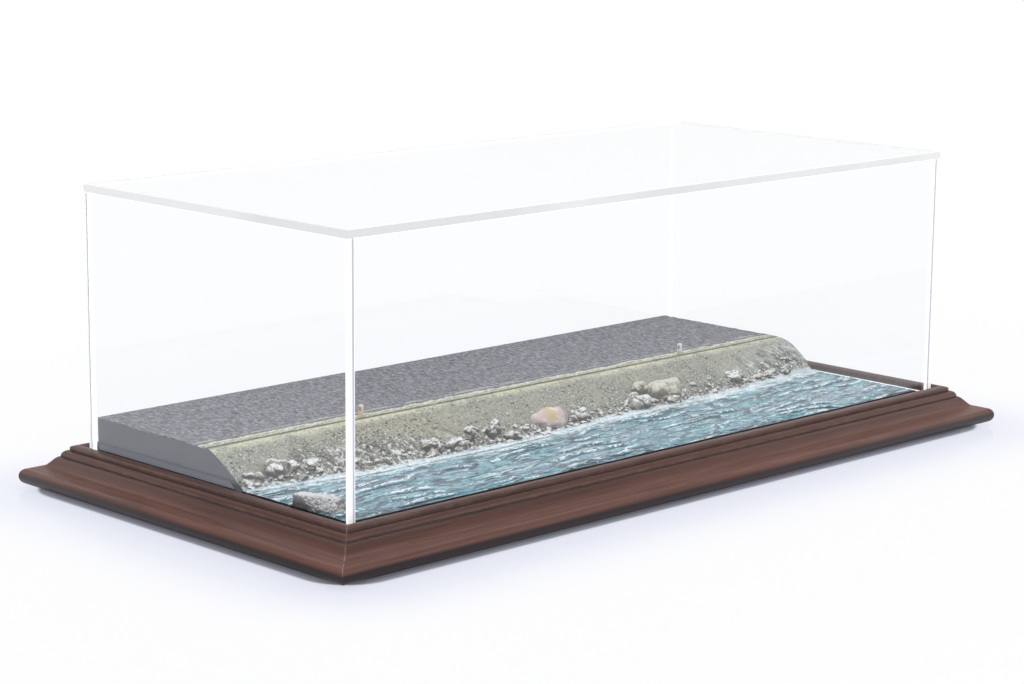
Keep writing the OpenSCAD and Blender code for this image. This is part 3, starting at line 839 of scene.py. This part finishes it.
def stone_finish(name, deep, middle, pale, brushing_and_highlight, tint=None):
    """Painted stone: painted shade with washes below, painted highlight with dry brushing on
    top.
    """
    f = Finish(name, 0.9, specular_ior_level=0.2)
    proud = f.value_of("proud")
    cloud = f.noise(3, 5, 0.6, 0.4)
    fine = f.noise(0.9, 5, 0.7)
    streak = f.noise(1.6, 5, 0.7, 0.5, f.stretched((1, 1, 0.4)))
    f.colour = f.mix(f.band(cloud, 0.35, 0.65), middle, f.mix(0.35, middle, pale))
    f.paint(f.band(fine, 0.45, 0.3, 0, 0.6), deep)
    if tint:
        code, low, high = tint
        f.paint(f.band(cloud, low, high, 0, 0.8), code)
    # Darker where the stone faces down: painted shade.
    up = f.facing_up()
    f.paint(f.band(up, 0.5, -0.1, 0, 0.9), deep)
    # Darker in the hollows: a wash with painted shade.
    hollow = f.band(f.plus(proud, f.band(fine, 0.3, 0.7, -0.06, 0.06)), 0.0, -0.12)
    f.paint(f.times(hollow, 0.7), deep)
    # White on what stands proud and faces up: dry brushing with painted highlight.
    brush = f.plus(streak, f.times(up, 0.3))
    brush = f.band(f.plus(brush, f.times(proud, 0.4)), 0.66, 0.78)
    f.paint(f.times(brush, brushing_and_highlight), pale)
    # Foam clings to the lowest part of each stone.
    wet = f.minus(f.axis("Z"), f.times(cloud, 1.4 * MM))
    f.paint(f.band(wet, WATER + 0.3 * MM, WATER - 0.2 * MM, 0, 0.85), "#f0f5f7")
    lumps = f.bump(cloud, 0.5, 0.5)
    return f.done(f.bump(fine, 0.2, 0.8, lumps))


def pink_stone():
    """Pink granite with an ochre patch at its upper left, painted shadow on its right side and
    painted shade underneath.
    """
    f = Finish("pink stone", 0.82)
    low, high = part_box("pink_boulder")
    x = f.over(f.minus(f.axis("X"), low.x), high.x - low.x)
    z = f.over(f.minus(f.axis("Z"), low.z), high.z - low.z)
    cloud = f.noise(3, 5, 0.6, 0.5)
    fine = f.noise(0.7, 5, 0.7)
    f.colour = f.mix(f.band(cloud, 0.35, 0.65), "#d9bdb6", "#eedfdc")
    ragged = f.times(f.minus(cloud, 0.5), 0.6)
    across = f.size_of(f.minus(f.plus(x, ragged), 0.3))
    high_up = f.band(f.plus(z, ragged), 0.35, 0.6)
    patch = f.times(f.band(across, 0.17, 0.06), high_up)
    f.paint(f.times(patch, 0.75), "#dcbb72")
    # Painted shadow on the right side.
    brown = f.band(f.plus(x, ragged), 0.66, 0.82)
    f.paint(f.times(brown, 0.7), "#84706a")
    f.paint(f.band(fine, 0.4, 0.28, 0, 0.5), "#9a827c")
    # Painted shade where the stone faces down.
    f.paint(f.band(f.facing_up(), 0.0, -0.6, 0, 0.6), "#86706a")
    f.paint(f.band(fine, 0.62, 0.75, 0, 0.7), "#f7f1ee")
    return f.done(f.bump(fine, 0.25, 0.8))


def flat_stone():
    """The flat rock in the water: grey sides and a frosted white rim."""
    f = Finish("flat stone", 0.85)
    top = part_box("flat_rock")[1].z
    z = f.over(f.minus(f.axis("Z"), WATER), top - WATER)
    cloud = f.noise(4, 5, 0.6)
    fine = f.noise(0.75, 5, 0.7)
    f.colour = f.mix(f.band(cloud, 0.35, 0.65), "#56524f", "#716c68")
    f.paint(f.band(fine, 0.44, 0.3, 0, 0.7), "#3f3d43")
    f.paint(f.band(fine, 0.58, 0.7, 0, 0.35), "#98959a")
    frost = f.band(f.plus(z, f.times(fine, 0.5)), 1.0, 1.2)
    f.paint(f.times(frost, 0.85), "#ebe2e3")
    # White on the faces that look up: white paint with painted highlight.
    up = f.band(f.facing_up(), 0.4, 0.9)
    f.paint(f.times(up, f.band(fine, 0.42, 0.58, 0.08, 0.95)), "#ebe6e4")
    return f.done(f.bump(fine, 0.25, 0.9))


def post_finish(name, node, top, body, foot):
    """Painted post: one colour fading into the next from its top to its foot."""
    f = Finish(name, 0.55)
    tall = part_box(node)[1].z - BANK_TOP
    z = f.over(f.minus(f.axis("Z"), BANK_TOP), tall)
    wash = f.noise(0.8, 4, 0.6)
    z = f.plus(z, f.times(f.minus(wash, 0.5), 0.4))
    f.colour = f.mix(f.band(z, 0.15, 0.5), foot, body)
    f.paint(f.band(z, 0.7, 0.95), top)
    return f.done(f.bump(wash, 0.05, 0.5))


def reflector():
    """Red-brown reflectors of the marker posts."""
    f = Finish("reflector", 0.3)
    shade = f.noise(0.5, 3, 0.5)
    f.colour = f.mix(f.band(shade, 0.3, 0.7), "#8a6a58", "#a5836d")
    return f.done()


# ---- Operators: the plinth --------------------------------------------------

class CASE_OT_rails(bpy.types.Operator):
    """Makes the four mitred rails of the plinth"""

    bl_idname = "case.rails"
    bl_label = "Rails"

    def execute(self, context):
        sizes = context.scene.case_sizes
        colours = context.scene.case_colours
        wood = stained_wood(colours)
        for node in ("front_rail", "back_rail", "left_rail", "right_rail"):
            rail = from_node(node, node + "_moulding")
            ease(rail, sizes.rail_edge, 2, 38)
            smooth(rail, 38)
            dress(rail, wood, "plinth", "stained_wood", node)
        return {"FINISHED"}


class CASE_OT_base(bpy.types.Operator):
    """Finishes the base board, its screws, the corner splines and the felt feet"""

    bl_idname = "case.base"
    bl_label = "Base board, screws and feet"

    def execute(self, context):
        finish_node("base_board", panel_board())
        finish_node("corner_splines", spline_wood())
        finish_node("board_screws", screw_brass())
        feet = from_node("felt_feet", "felt_discs")
        ease(feet, 0.25 * MM, 3, 60)
        smooth(feet, 50)
        dress(feet, felt(), "plinth", "felt", "felt_feet")
        return {"FINISHED"}


# ---- Operators: the cover ---------------------------------------------------

class CASE_OT_cover(bpy.types.Operator):
    """Makes the five polished sheets of the clear cover"""

    bl_idname = "case.cover"
    bl_label = "Acrylic cover"

    def execute(self, context):
        sizes = context.scene.case_sizes
        colours = context.scene.case_colours
        acrylic = clear_acrylic(colours)
        # The far walls mirror less, so the road doesn't show twice in them.
        far_acrylic = clear_acrylic(colours, "clear acrylic of the far walls", 1.25)
        # The edges and joints are pale and glow: painted light for the light they gather.
        edge = polished_edge("polished edge", "#e0e0dc", "#eeeeea", 0.24, warm=True)
        end = polished_edge("polished end", "#f4f4f6", "#fbfbfc", 0.45, 0.6)
        joint = polished_edge("cemented joint", "#eff0f3", "#f7f7f9", 0.74)
        edges = {"cover_top": edge, "cover_left": end, "cover_right": end}
        inset = Vector((sizes.sheet_gap,) * 3)
        for node in ("cover_top", "cover_front", "cover_back", "cover_left", "cover_right"):
            low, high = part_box(node)
            sheet = box_piece(node + "_sheet", low + inset, high - inset, sizes.sheet_edge)
            far = node in ("cover_back", "cover_right")
            dress(sheet, far_acrylic if far else acrylic, "cover", "clear_acrylic", node)
            sheet.data.materials.append(edges.get(node, joint))
            size = high - low
            thin = list(size).index(min(size))
            for face in sheet.data.polygons:
                is_edge = abs(face.normal[thin]) < 0.99
                face.material_index = int(is_edge)
        return {"FINISHED"}


# ---- Operators: the insert --------------------------------------------------

class CASE_OT_board(bpy.types.Operator):
    """Makes the black board that carries the diorama"""

    bl_idname = "case.board"
    bl_label = "Insert board"

    def execute(self, context):
        low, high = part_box("insert_board")
        board = box_piece("black_insert_board", low, high, 0.12 * MM)
        dress(board, black_board(), "insert", "black_board", "insert_board")
        return {"FINISHED"}


class CASE_OT_road(bpy.types.Operator):
    """Makes the road's bed, its gritty surface and the gravel verge"""

    bl_idname = "case.road"
    bl_label = "Road"

    def execute(self, context):
        sizes = context.scene.case_sizes
        colours = context.scene.case_colours
        bed = from_node("road_core", "road_bed")
        smooth(bed, 20)
        dress(bed, painted_core(colours), "insert", "grey_core", "road_core")

        low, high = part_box("asphalt")
        surface = grid_piece("road_surface", low, high, high.z, sizes.grit)
        weigh(surface, "inner", lambda p: smoothstep(0, 1.5 * MM, min(
            p.x - low.x, high.x - p.x, p.y - low.y, high.y - p.y)))
        weigh(surface, "ends", lambda p: smoothstep(
            1.2 * MM, 0, min(p.x - low.x, high.x - p.x)))
        displace(surface, clouds(16 * MM, 2), 0.3 * MM, "inner", "Z")
        displace(surface, clouds(1.3 * MM, 2), 0.08 * MM, "inner", "Z")
        displace(surface, clouds(2.4 * MM, 3), 0.6 * MM, "ends", "Z", 0.62)
        close_below(surface, low.z)
        smooth(surface, 50)
        dress(surface, asphalt(colours), "insert", "asphalt", "asphalt")

        low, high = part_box("verge_strip")
        verge = grid_piece("gravel_verge", low, high, high.z, 0.36 * MM)
        weigh(verge, "inner", lambda p: smoothstep(0, 0.5 * MM, high.y - p.y))
        displace(verge, texture("VORONOI", 1.1 * MM), -0.25 * MM, "inner", "Z", 0.35)
        displace(verge, clouds(3 * MM, 3), 0.3 * MM, "inner", "Z")
        close_below(verge, low.z)
        smooth(verge, 50)
        dress(verge, verge_gravel(colours), "insert", "verge_gravel", "verge_strip")
        return {"FINISHED"}


def column_grid(name, inner_y, outer_y, z, step):
    """A grid over the insert's length whose columns run from inner_y to outer_y(x)."""
    margin = 0.06 * MM
    span = max(abs(inner_y - outer_y(x)) for x in SHORE_X)
    low = Vector((LEFT + margin, inner_y - span, z))
    high = Vector((RIGHT - margin, inner_y, z))
    piece = grid_piece(name, low, high, z, step)
    for v in piece.data.vertices:
        share = (inner_y - v.co.y) / span
        v.co.y = inner_y + share * (outer_y(v.co.x) - inner_y)
    return piece


class CASE_OT_bank(bpy.types.Operator):
    """Makes the planted bank between the road and the water"""

    bl_idname = "case.bank"
    bl_label = "Bank"

    def execute(self, context):
        sizes = context.scene.case_sizes
        colours = context.scene.case_colours
        above = BANK_TOP + 20 * MM
        under_water = WATER - 0.5 * MM
        tuck = 0.9 * MM
        bank = column_grid(
            "planted_bank", CREST, lambda x: shore_y(x) - tuck, above, sizes.ground_mesh)
        form = from_node("bank", "form")
        modify(bank, "SHRINKWRAP", target=form, wrap_method="PROJECT", use_project_z=True,
               use_negative_direction=True, use_positive_direction=False)
        bpy.data.objects.remove(form)
        # What found no bank under it lies off the shore.
        for v in bank.data.vertices:
            if v.co.z > (BANK_TOP + above) / 2:
                v.co.z = under_water
        ends = lambda p: smoothstep(0, 1.5 * MM, min(p.x - LEFT, RIGHT - p.x))
        inland = lambda p: p.y - shore_y(p.x)
        weigh(bank, "inner", lambda p: ends(p) * smoothstep(0.3 * MM, 2 * MM, CREST - p.y)
              * smoothstep(0, 1 * MM, inland(p)))
        modify(bank, "SMOOTH", factor=0.6, iterations=14, vertex_group="inner")
        value_map(bank, "inland", inland)
        value_map(bank, "below_crest", lambda p: CREST - p.y)
        uneven = lambda p: 0.35 + 0.65 * smoothstep(-0.15, 0.3, noise.noise(p / (19 * MM)))
        weigh(bank, "foot", lambda p: smoothstep(0, 2 * MM, p.x - LEFT)
              * smoothstep(13 * MM, 2 * MM, inland(p)) * smoothstep(-1.2 * MM, 0, inland(p))
              * uneven(p))
        # Scree has come down left of the middle.
        scree = lambda x: smoothstep(-138, -124, x / MM) * smoothstep(-55, -75, x / MM)
        weigh(bank, "scree", lambda p: scree(p.x) * smoothstep(20 * MM, 12 * MM, inland(p))
              * smoothstep(0, 1 * MM, inland(p)))
        displace(bank, clouds(9 * MM, 2), 1.5 * MM, "inner")
        displace(bank, clouds(2.4 * MM, 3), 0.7 * MM, "inner")
        displace(bank, crags(3.3 * MM), 1.6 * sizes.foot_lumps, "foot", middle=0.25)
        displace(bank, crags(2.6 * MM), 1.1 * sizes.foot_lumps, "scree", middle=0.3)
        displace(bank, clouds(3.6 * MM, 4), sizes.foot_lumps, "foot")
        displace(bank, clouds(1.2 * MM, 2), 0.55 * MM, "inner")
        proud_map(bank, 6)
        close_below(bank, GROUND)
        smooth(bank, 55)
        dress(bank, ground_cover(colours), "insert", "ground_cover", "bank")
        return {"FINISHED"}


def wave(p, run):
    """A wave's height at a place, from 0 in its trough to 1 on its crest, its phase and size.

    Each wave climbs gently towards the front of the case and falls off steeply there.
    """
    crest = 0.78
    x, y = p.x / run, -p.y / run
    bend = 1.5 * noise.noise((0.16 * x, 0.34 * y, 3)) + 0.5 * noise.noise((0.55 * x, 0.9 * y, 7))
    phase = (y + 0.12 * x + bend) % 1
    lift = min(phase / crest, (1 - phase) / (1 - crest))
    size = smoothstep(-0.35, 0.35, noise.noise((0.3 * x, 0.7 * y, 11)))
    return lift, phase, size


class CASE_OT_water(bpy.types.Operator):
    """Makes the rippled water and the foam along the shore"""

    bl_idname = "case.water"
    bl_label = "Water and foam"

    def execute(self, context):
        sizes = context.scene.case_sizes
        colours = context.scene.case_colours
        tuck = 0.8 * MM
        water = column_grid(
            "rippled_water", FRONT, lambda x: shore_y(x) + tuck, WATER, sizes.ground_mesh)
        offshore = lambda p: shore_y(p.x) - p.y
        value_map(water, "offshore", offshore)
        sides = lambda p: smoothstep(0, 1.2 * MM, min(p.x - LEFT, RIGHT - p.x, p.y - FRONT))
        calm = lambda p: sides(p) * (0.45 + 0.55 * smoothstep(0, 6 * MM, offshore(p)))
        weigh(water, "open", calm)
        for name, run, height in (("big", sizes.wave_run, sizes.wave_height),
                                  ("small", 0.37 * sizes.wave_run, 0.4 * sizes.wave_height)):
            shapes = [wave(v.co, run) for v in water.data.vertices]
            falls = [size * smoothstep(0.86, 0.97, phase) for lift, phase, size in shapes]
            crests = [size * smoothstep(0.55, 0.78, phase) * smoothstep(0.9, 0.8, phase)
                      for lift, phase, size in shapes]
            keep_values(water, name + "_fall", falls)
            keep_values(water, name + "_crest", crests)
            group = water.vertex_groups.new(name=name)
            for v, (lift, phase, size) in zip(water.data.vertices, shapes):
                group.add([v.index], lift * size * calm(v.co), "REPLACE")
            modify(water, "DISPLACE", strength=height, mid_level=0, direction="Z",
                   vertex_group=name)
        modify(water, "DISPLACE", strength=-0.45 * sizes.wave_height, mid_level=0,
               direction="Z", vertex_group="open")
        chop = 0.4 * sizes.wave_height
        displace(water, clouds(1.6 * MM, 3), chop, "open", "Z", stretch=(2.6, 1, 1))
        for v in water.data.vertices:
            v.co.z = max(v.co.z, GROUND + 0.2 * MM)
        close_below(water, GROUND)
        smooth(water, 60)
        dress(water, water_gel(colours), "insert", "water_gel", "water")

        foam = from_node("foam_line", "shore_foam")
        modify(foam, "REMESH", mode="VOXEL", voxel_size=0.3 * MM)
        displace(foam, clouds(2.2 * MM, 3), 1.1 * MM)
        displace(foam, clouds(0.8 * MM, 2), 0.35 * MM)
        smooth(foam, 70)
        dress(foam, sea_foam(colours), "insert", "foam", "foam_line")
        return {"FINISHED"}


def boulder(name, low, high, lumps, spread):
    """A lumpy stone that fills the box of one solid and goes on into the ground.

    Lumps is their height as a share of the stone, and spread the size of the ball that it
    starts from as a share of the box.
    """
    centre = (low + high) / 2
    size = high - low
    sink = 0.22 * size.z
    bpy.ops.mesh.primitive_ico_sphere_add(subdivisions=5, radius=0.5)
    stone = named(name)
    stone.scale = (spread * size.x, spread * size.y, (spread - 0.04) * size.z + sink)
    stone.location = centre - Vector((0, 0, sink / 2))
    place(stone)
    mean = (size.x + size.y + size.z) / 3
    displace(stone, clouds(0.9 * mean, 0), lumps * mean)
    displace(stone, crags(0.8 * mean), 1.1 * lumps * mean, middle=0.3)
    displace(stone, clouds(0.3 * mean, 3), 0.12 * mean)
    for v in stone.data.vertices:
        v.co.z = max(v.co.z, GROUND - 0.4 * MM)
    proud_map(stone, 8)
    smooth(stone, 50)
    return stone


class CASE_OT_boulders(bpy.types.Operator):
    """Makes the boulders at the foot of the bank and the flat rock in the water"""

    bl_idname = "case.boulders"
    bl_label = "Boulders"

    def execute(self, context):
        pale = stone_finish(
            "pale stone", "#6f6557", "#b9ae9b", "#e8e3d6", 0.75, ("#c9c49c", 0.52, 0.66))
        grey = stone_finish("grey stone", "#3f372f", "#a09890", "#f8f5f2", 0.95)
        looks = (
            ("pink_boulder", "pink_stone", pink_stone(), 0.18, 1.22),
            ("pale_boulders", "pale_stone", pale, 0.33, 1.26),
            ("grey_boulders", "grey_stone", grey, 0.55, 1.36),
        )
        for node, slot, finish, lumps, spread in looks:
            stones = [boulder(f"{node}_{i}", low, high, lumps, spread)
                      for i, (low, high) in enumerate(loose_boxes(node))]
            dress(join(node + "_stones", stones), finish, "insert", slot, node)

        rock = from_node("flat_rock", "flat_rock_stone")
        modify(rock, "REMESH", mode="VOXEL", voxel_size=0.35 * MM)
        modify(rock, "SMOOTH", factor=0.5, iterations=16)
        weigh(rock, "dry", lambda p: smoothstep(GROUND, WATER + 1 * MM, p.z))
        displace(rock, clouds(6 * MM, 2), 1.3 * MM, "dry", middle=0.55)
        displace(rock, crags(3 * MM), 0.8 * MM, "dry", middle=0.3)
        displace(rock, clouds(1.2 * MM, 3), 0.6 * MM, "dry")
        smooth(rock, 60)
        dress(rock, flat_stone(), "insert", "flat_stone", "flat_rock")
        return {"FINISHED"}


def pebble_kinds(count):
    """A few different small stones to copy, each about one unit across."""
    kinds = []
    for k in range(count):
        # Each one starts at another place in the textures, and so turns out different.
        start = Vector((3 * k, 0, 0))
        bpy.ops.mesh.primitive_ico_sphere_add(subdivisions=2, radius=0.5, location=start)
        stone = named(f"pebble_{k}")
        place(stone)
        displace(stone, clouds(0.55, 1), 0.45)
        displace(stone, crags(0.6), 0.4, middle=0.3)
        value_map(stone, "proud", lambda p: 0.25 * (p - start).length)
        stone.data.transform(Matrix.Translation(-start))
        kinds.append(stone)
    return kinds


class CASE_OT_rubble(bpy.types.Operator):
    """Strews the rubble along the water's edge"""

    bl_idname = "case.rubble"
    bl_label = "Rubble"

    def execute(self, context):
        sizes = context.scene.case_sizes
        margin, spread, afloat = 1.6 * MM, 3.4 * MM, 1.1 * MM
        big_share, big = 0.25, 1.7
        draw = random.Random(sizes.seed)
        kinds = pebble_kinds(6)
        ground = bpy.data.objects["planted_bank"]
        stones = []
        for i in range(sizes.stone_count):
            x = draw.uniform(LEFT + margin, RIGHT - margin)
            inland = abs(draw.gauss(0, 1)) * spread - afloat
            size = draw.uniform(0.9, 1.9) * MM * (big if draw.random() < big_share else 1)
            y = shore_y(x) + inland
            hit, spot, _, _ = ground.ray_cast(Vector((x, y, 1)), Vector((0, 0, -1)))
            z = max(spot.z if hit else 0, WATER + 0.1 * MM)
            turn = Matrix.Rotation(draw.uniform(0, math.tau), 4, "Z") @ Matrix.Rotation(
                draw.uniform(-0.5, 0.5), 4, "X")
            shape = Matrix.Diagonal((
                size * draw.uniform(1, 1.6), size * draw.uniform(0.8, 1.1),
                size * draw.uniform(0.7, 1.05), 1))
            lifted = Matrix.Translation((x, y, z + 0.18 * size))
            stone = bpy.data.objects.new(f"stone_{i}", kinds[i % len(kinds)].data.copy())
            bpy.context.scene.collection.objects.link(stone)
            stone.data.transform(lifted @ turn @ shape)
            stones.append(stone)
        for kind in kinds:
            bpy.data.objects.remove(kind)
        rubble = join("shore_rubble_stones", stones)
        smooth(rubble, 48)
        finish = stone_finish("rubble stone", "#564c43", "#b0a79e", "#f8f5f2", 0.95)
        dress(rubble, finish, "insert", "rubble_stone", "shore_rubble")
        return {"FINISHED"}


class CASE_OT_posts(bpy.types.Operator):
    """Makes the two marker posts and their reflectors"""

    bl_idname = "case.posts"
    bl_label = "Marker posts"

    def execute(self, context):
        looks = (
            ("post_left", "post_peach", "#f5e6df", "#eacbb4", "#dccba4"),
            ("post_right", "post_white", "#f8f7f5", "#eeedea", "#c4c2a6"),
        )
        for node, slot, top, body, foot in looks:
            post = from_node(node, node + "_marker")
            ease(post, 0.12 * MM, 2, 30)
            smooth(post, 40)
            dress(post, post_finish(slot, node, top, body, foot), "insert", slot, node)
        finish_node("post_reflectors", reflector())
        return {"FINISHED"}


# ---- The stage --------------------------------------------------------------

# The camera's focal length in mm, its turn, dip and roll, and its place in metres.
LENS = 92.14
TURN, DIP, ROLL = math.radians(44.32), math.radians(11.21), math.radians(-0.47)
EYE = Vector((-0.72304, -0.72763, 0.24921))
# The strength of the soft light all round.
WORLD_LEVEL = 0.5


def add_camera():
    """The camera, from its place, turn, dip and roll."""
    camera = bpy.data.objects.new("camera", bpy.data.cameras.new("camera"))
    bpy.context.scene.collection.objects.link(camera)
    camera.data.lens = LENS
    ahead = Vector((math.sin(TURN) * math.cos(DIP), math.cos(TURN) * math.cos(DIP),
                    -math.sin(DIP)))
    level = Vector((math.cos(TURN), -math.sin(TURN), 0))
    up = level.cross(ahead)
    right = math.cos(ROLL) * level - math.sin(ROLL) * up
    top = math.sin(ROLL) * level + math.cos(ROLL) * up
    pose = Matrix((right, top, -ahead)).transposed().to_4x4()
    pose.translation = EYE
    camera.matrix_world = pose
    bpy.context.scene.camera = camera


def add_lamp(name, spot, aim, size, power):
    """A soft square lamp at a spot, aimed at a point."""
    lamp = bpy.data.objects.new(name, bpy.data.lights.new(name, "AREA"))
    bpy.context.scene.collection.objects.link(lamp)
    lamp.data.size = size
    lamp.data.energy = power
    lamp.location = spot
    lamp.rotation_euler = (Vector(aim) - Vector(spot)).to_track_quat("-Z", "Y").to_euler()


def add_world():
    """White all round to look at, and an even soft light for the case."""
    world = bpy.data.worlds.new("studio")
    bpy.context.scene.world = world
    world.use_nodes = True
    graph = Graph(world.node_tree)
    soft = world.node_tree.nodes["Background"]
    graph.give(soft.inputs["Color"], (0.97, 0.98, 1))
    graph.give(soft.inputs["Strength"], WORLD_LEVEL)
    white = graph.node("Background", {"Color": (1, 1, 1)})
    graph.show(graph.seen_share(), soft.outputs[0], white.outputs[0], "World Output")


def floor_finish():
    """White polished floor: a faint shadow and reflection near the case, pure white far off."""
    f = Finish("studio floor", 0.18, base_color=(0.74, 0.77, 0.95, 1))
    squares = []
    for name, half in (("X", COVER_X), ("Y", COVER_Y)):
        beyond = f.most(f.minus(f.size_of(f.axis(name)), half), 0.0)
        squares.append(f.times(beyond, beyond))
    away = f.maths("SQRT", f.plus(*squares))
    # The glow is tinted violet near the case: a painted reflection.
    tint = f.mix(f.band(away, 0.02, 0.075), (0.9, 0.915, 1), (1, 1, 1))
    glow = f.node("Emission", {"Color": tint}).outputs[0]
    # How much of the floor is plain white, by how far it is from the cover, in metres.
    plain = f.band(away, 0.0185, 0.0205, 0.1, 0.74)
    plain = f.plus(plain, f.band(away, 0.0205, 0.055, 0, 0.2))
    plain = f.plus(plain, f.band(away, 0.05, 0.3, 0, 0.06))
    f.show(f.times(f.seen_share(), plain), f.shader.outputs[0], glow)
    return f.material


class CASE_OT_stage(bpy.types.Operator):
    """Sets the camera, the white studio and its soft lamps"""

    bl_idname = "case.stage"
    bl_label = "Studio"

    def execute(self, context):
        add_camera()
        add_world()
        add_lamp("top softbox", (0.1, 0.25, 1.3), (0, 0, 0), 0.9, 4.5)
        add_lamp("front softbox", (0.45, -1.1, 0.75), (0, 0, 0.02), 0.8, 4)
        add_lamp("left softbox", (-1.3, -0.1, 0.7), (0, 0, 0.02), 0.8, 3)
        bpy.ops.mesh.primitive_circle_add(vertices=96, radius=9, fill_type="NGON")
        floor = named("studio_floor")
        place(floor)
        floor.data.materials.append(floor_finish())
        context.scene.view_settings.view_transform = "Standard"
        return {"FINISHED"}


# ---- Panel and registration -------------------------------------------------

STEPS = (
    CASE_OT_stage, CASE_OT_rails, CASE_OT_base, CASE_OT_cover, CASE_OT_board, CASE_OT_road,
    CASE_OT_bank, CASE_OT_water, CASE_OT_boulders, CASE_OT_rubble, CASE_OT_posts,
)


class CASE_PT_panel(bpy.types.Panel):
    """The case's settings and the steps that make it"""

    bl_idname = "CASE_PT_panel"
    bl_label = "Display Case"
    bl_space_type = "VIEW_3D"
    bl_region_type = "UI"
    bl_category = "Display Case"

    def draw(self, context):
        for group in (context.scene.case_sizes, context.scene.case_colours):
            column = self.layout.column()
            for name in group.bl_rna.properties.keys():
                if name not in ("rna_type", "name"):
                    column.prop(group, name)
        for step in STEPS:
            self.layout.operator(step.bl_idname)


CLASSES = (CaseSizes, CaseColours, *STEPS, CASE_PT_panel)


def register():
    """Adds the classes and the scene's settings."""
    for cls in CLASSES:
        bpy.utils.register_class(cls)
    bpy.types.Scene.case_sizes = bpy.props.PointerProperty(type=CaseSizes)
    bpy.types.Scene.case_colours = bpy.props.PointerProperty(type=CaseColours)


def unregister():
    """Takes the classes and the settings away again."""
    del bpy.types.Scene.case_colours
    del bpy.types.Scene.case_sizes
    for cls in reversed(CLASSES):
        bpy.utils.unregister_class(cls)


def main():
    """Makes the whole case."""
    register()
    bpy.ops.case.stage()
    bpy.ops.case.rails()
    bpy.ops.case.base()
    bpy.ops.case.cover()
    bpy.ops.case.board()
    bpy.ops.case.road()
    bpy.ops.case.bank()
    bpy.ops.case.water()
    bpy.ops.case.boulders()
    bpy.ops.case.rubble()
    bpy.ops.case.posts()


if __name__ == "__main__":
    main()
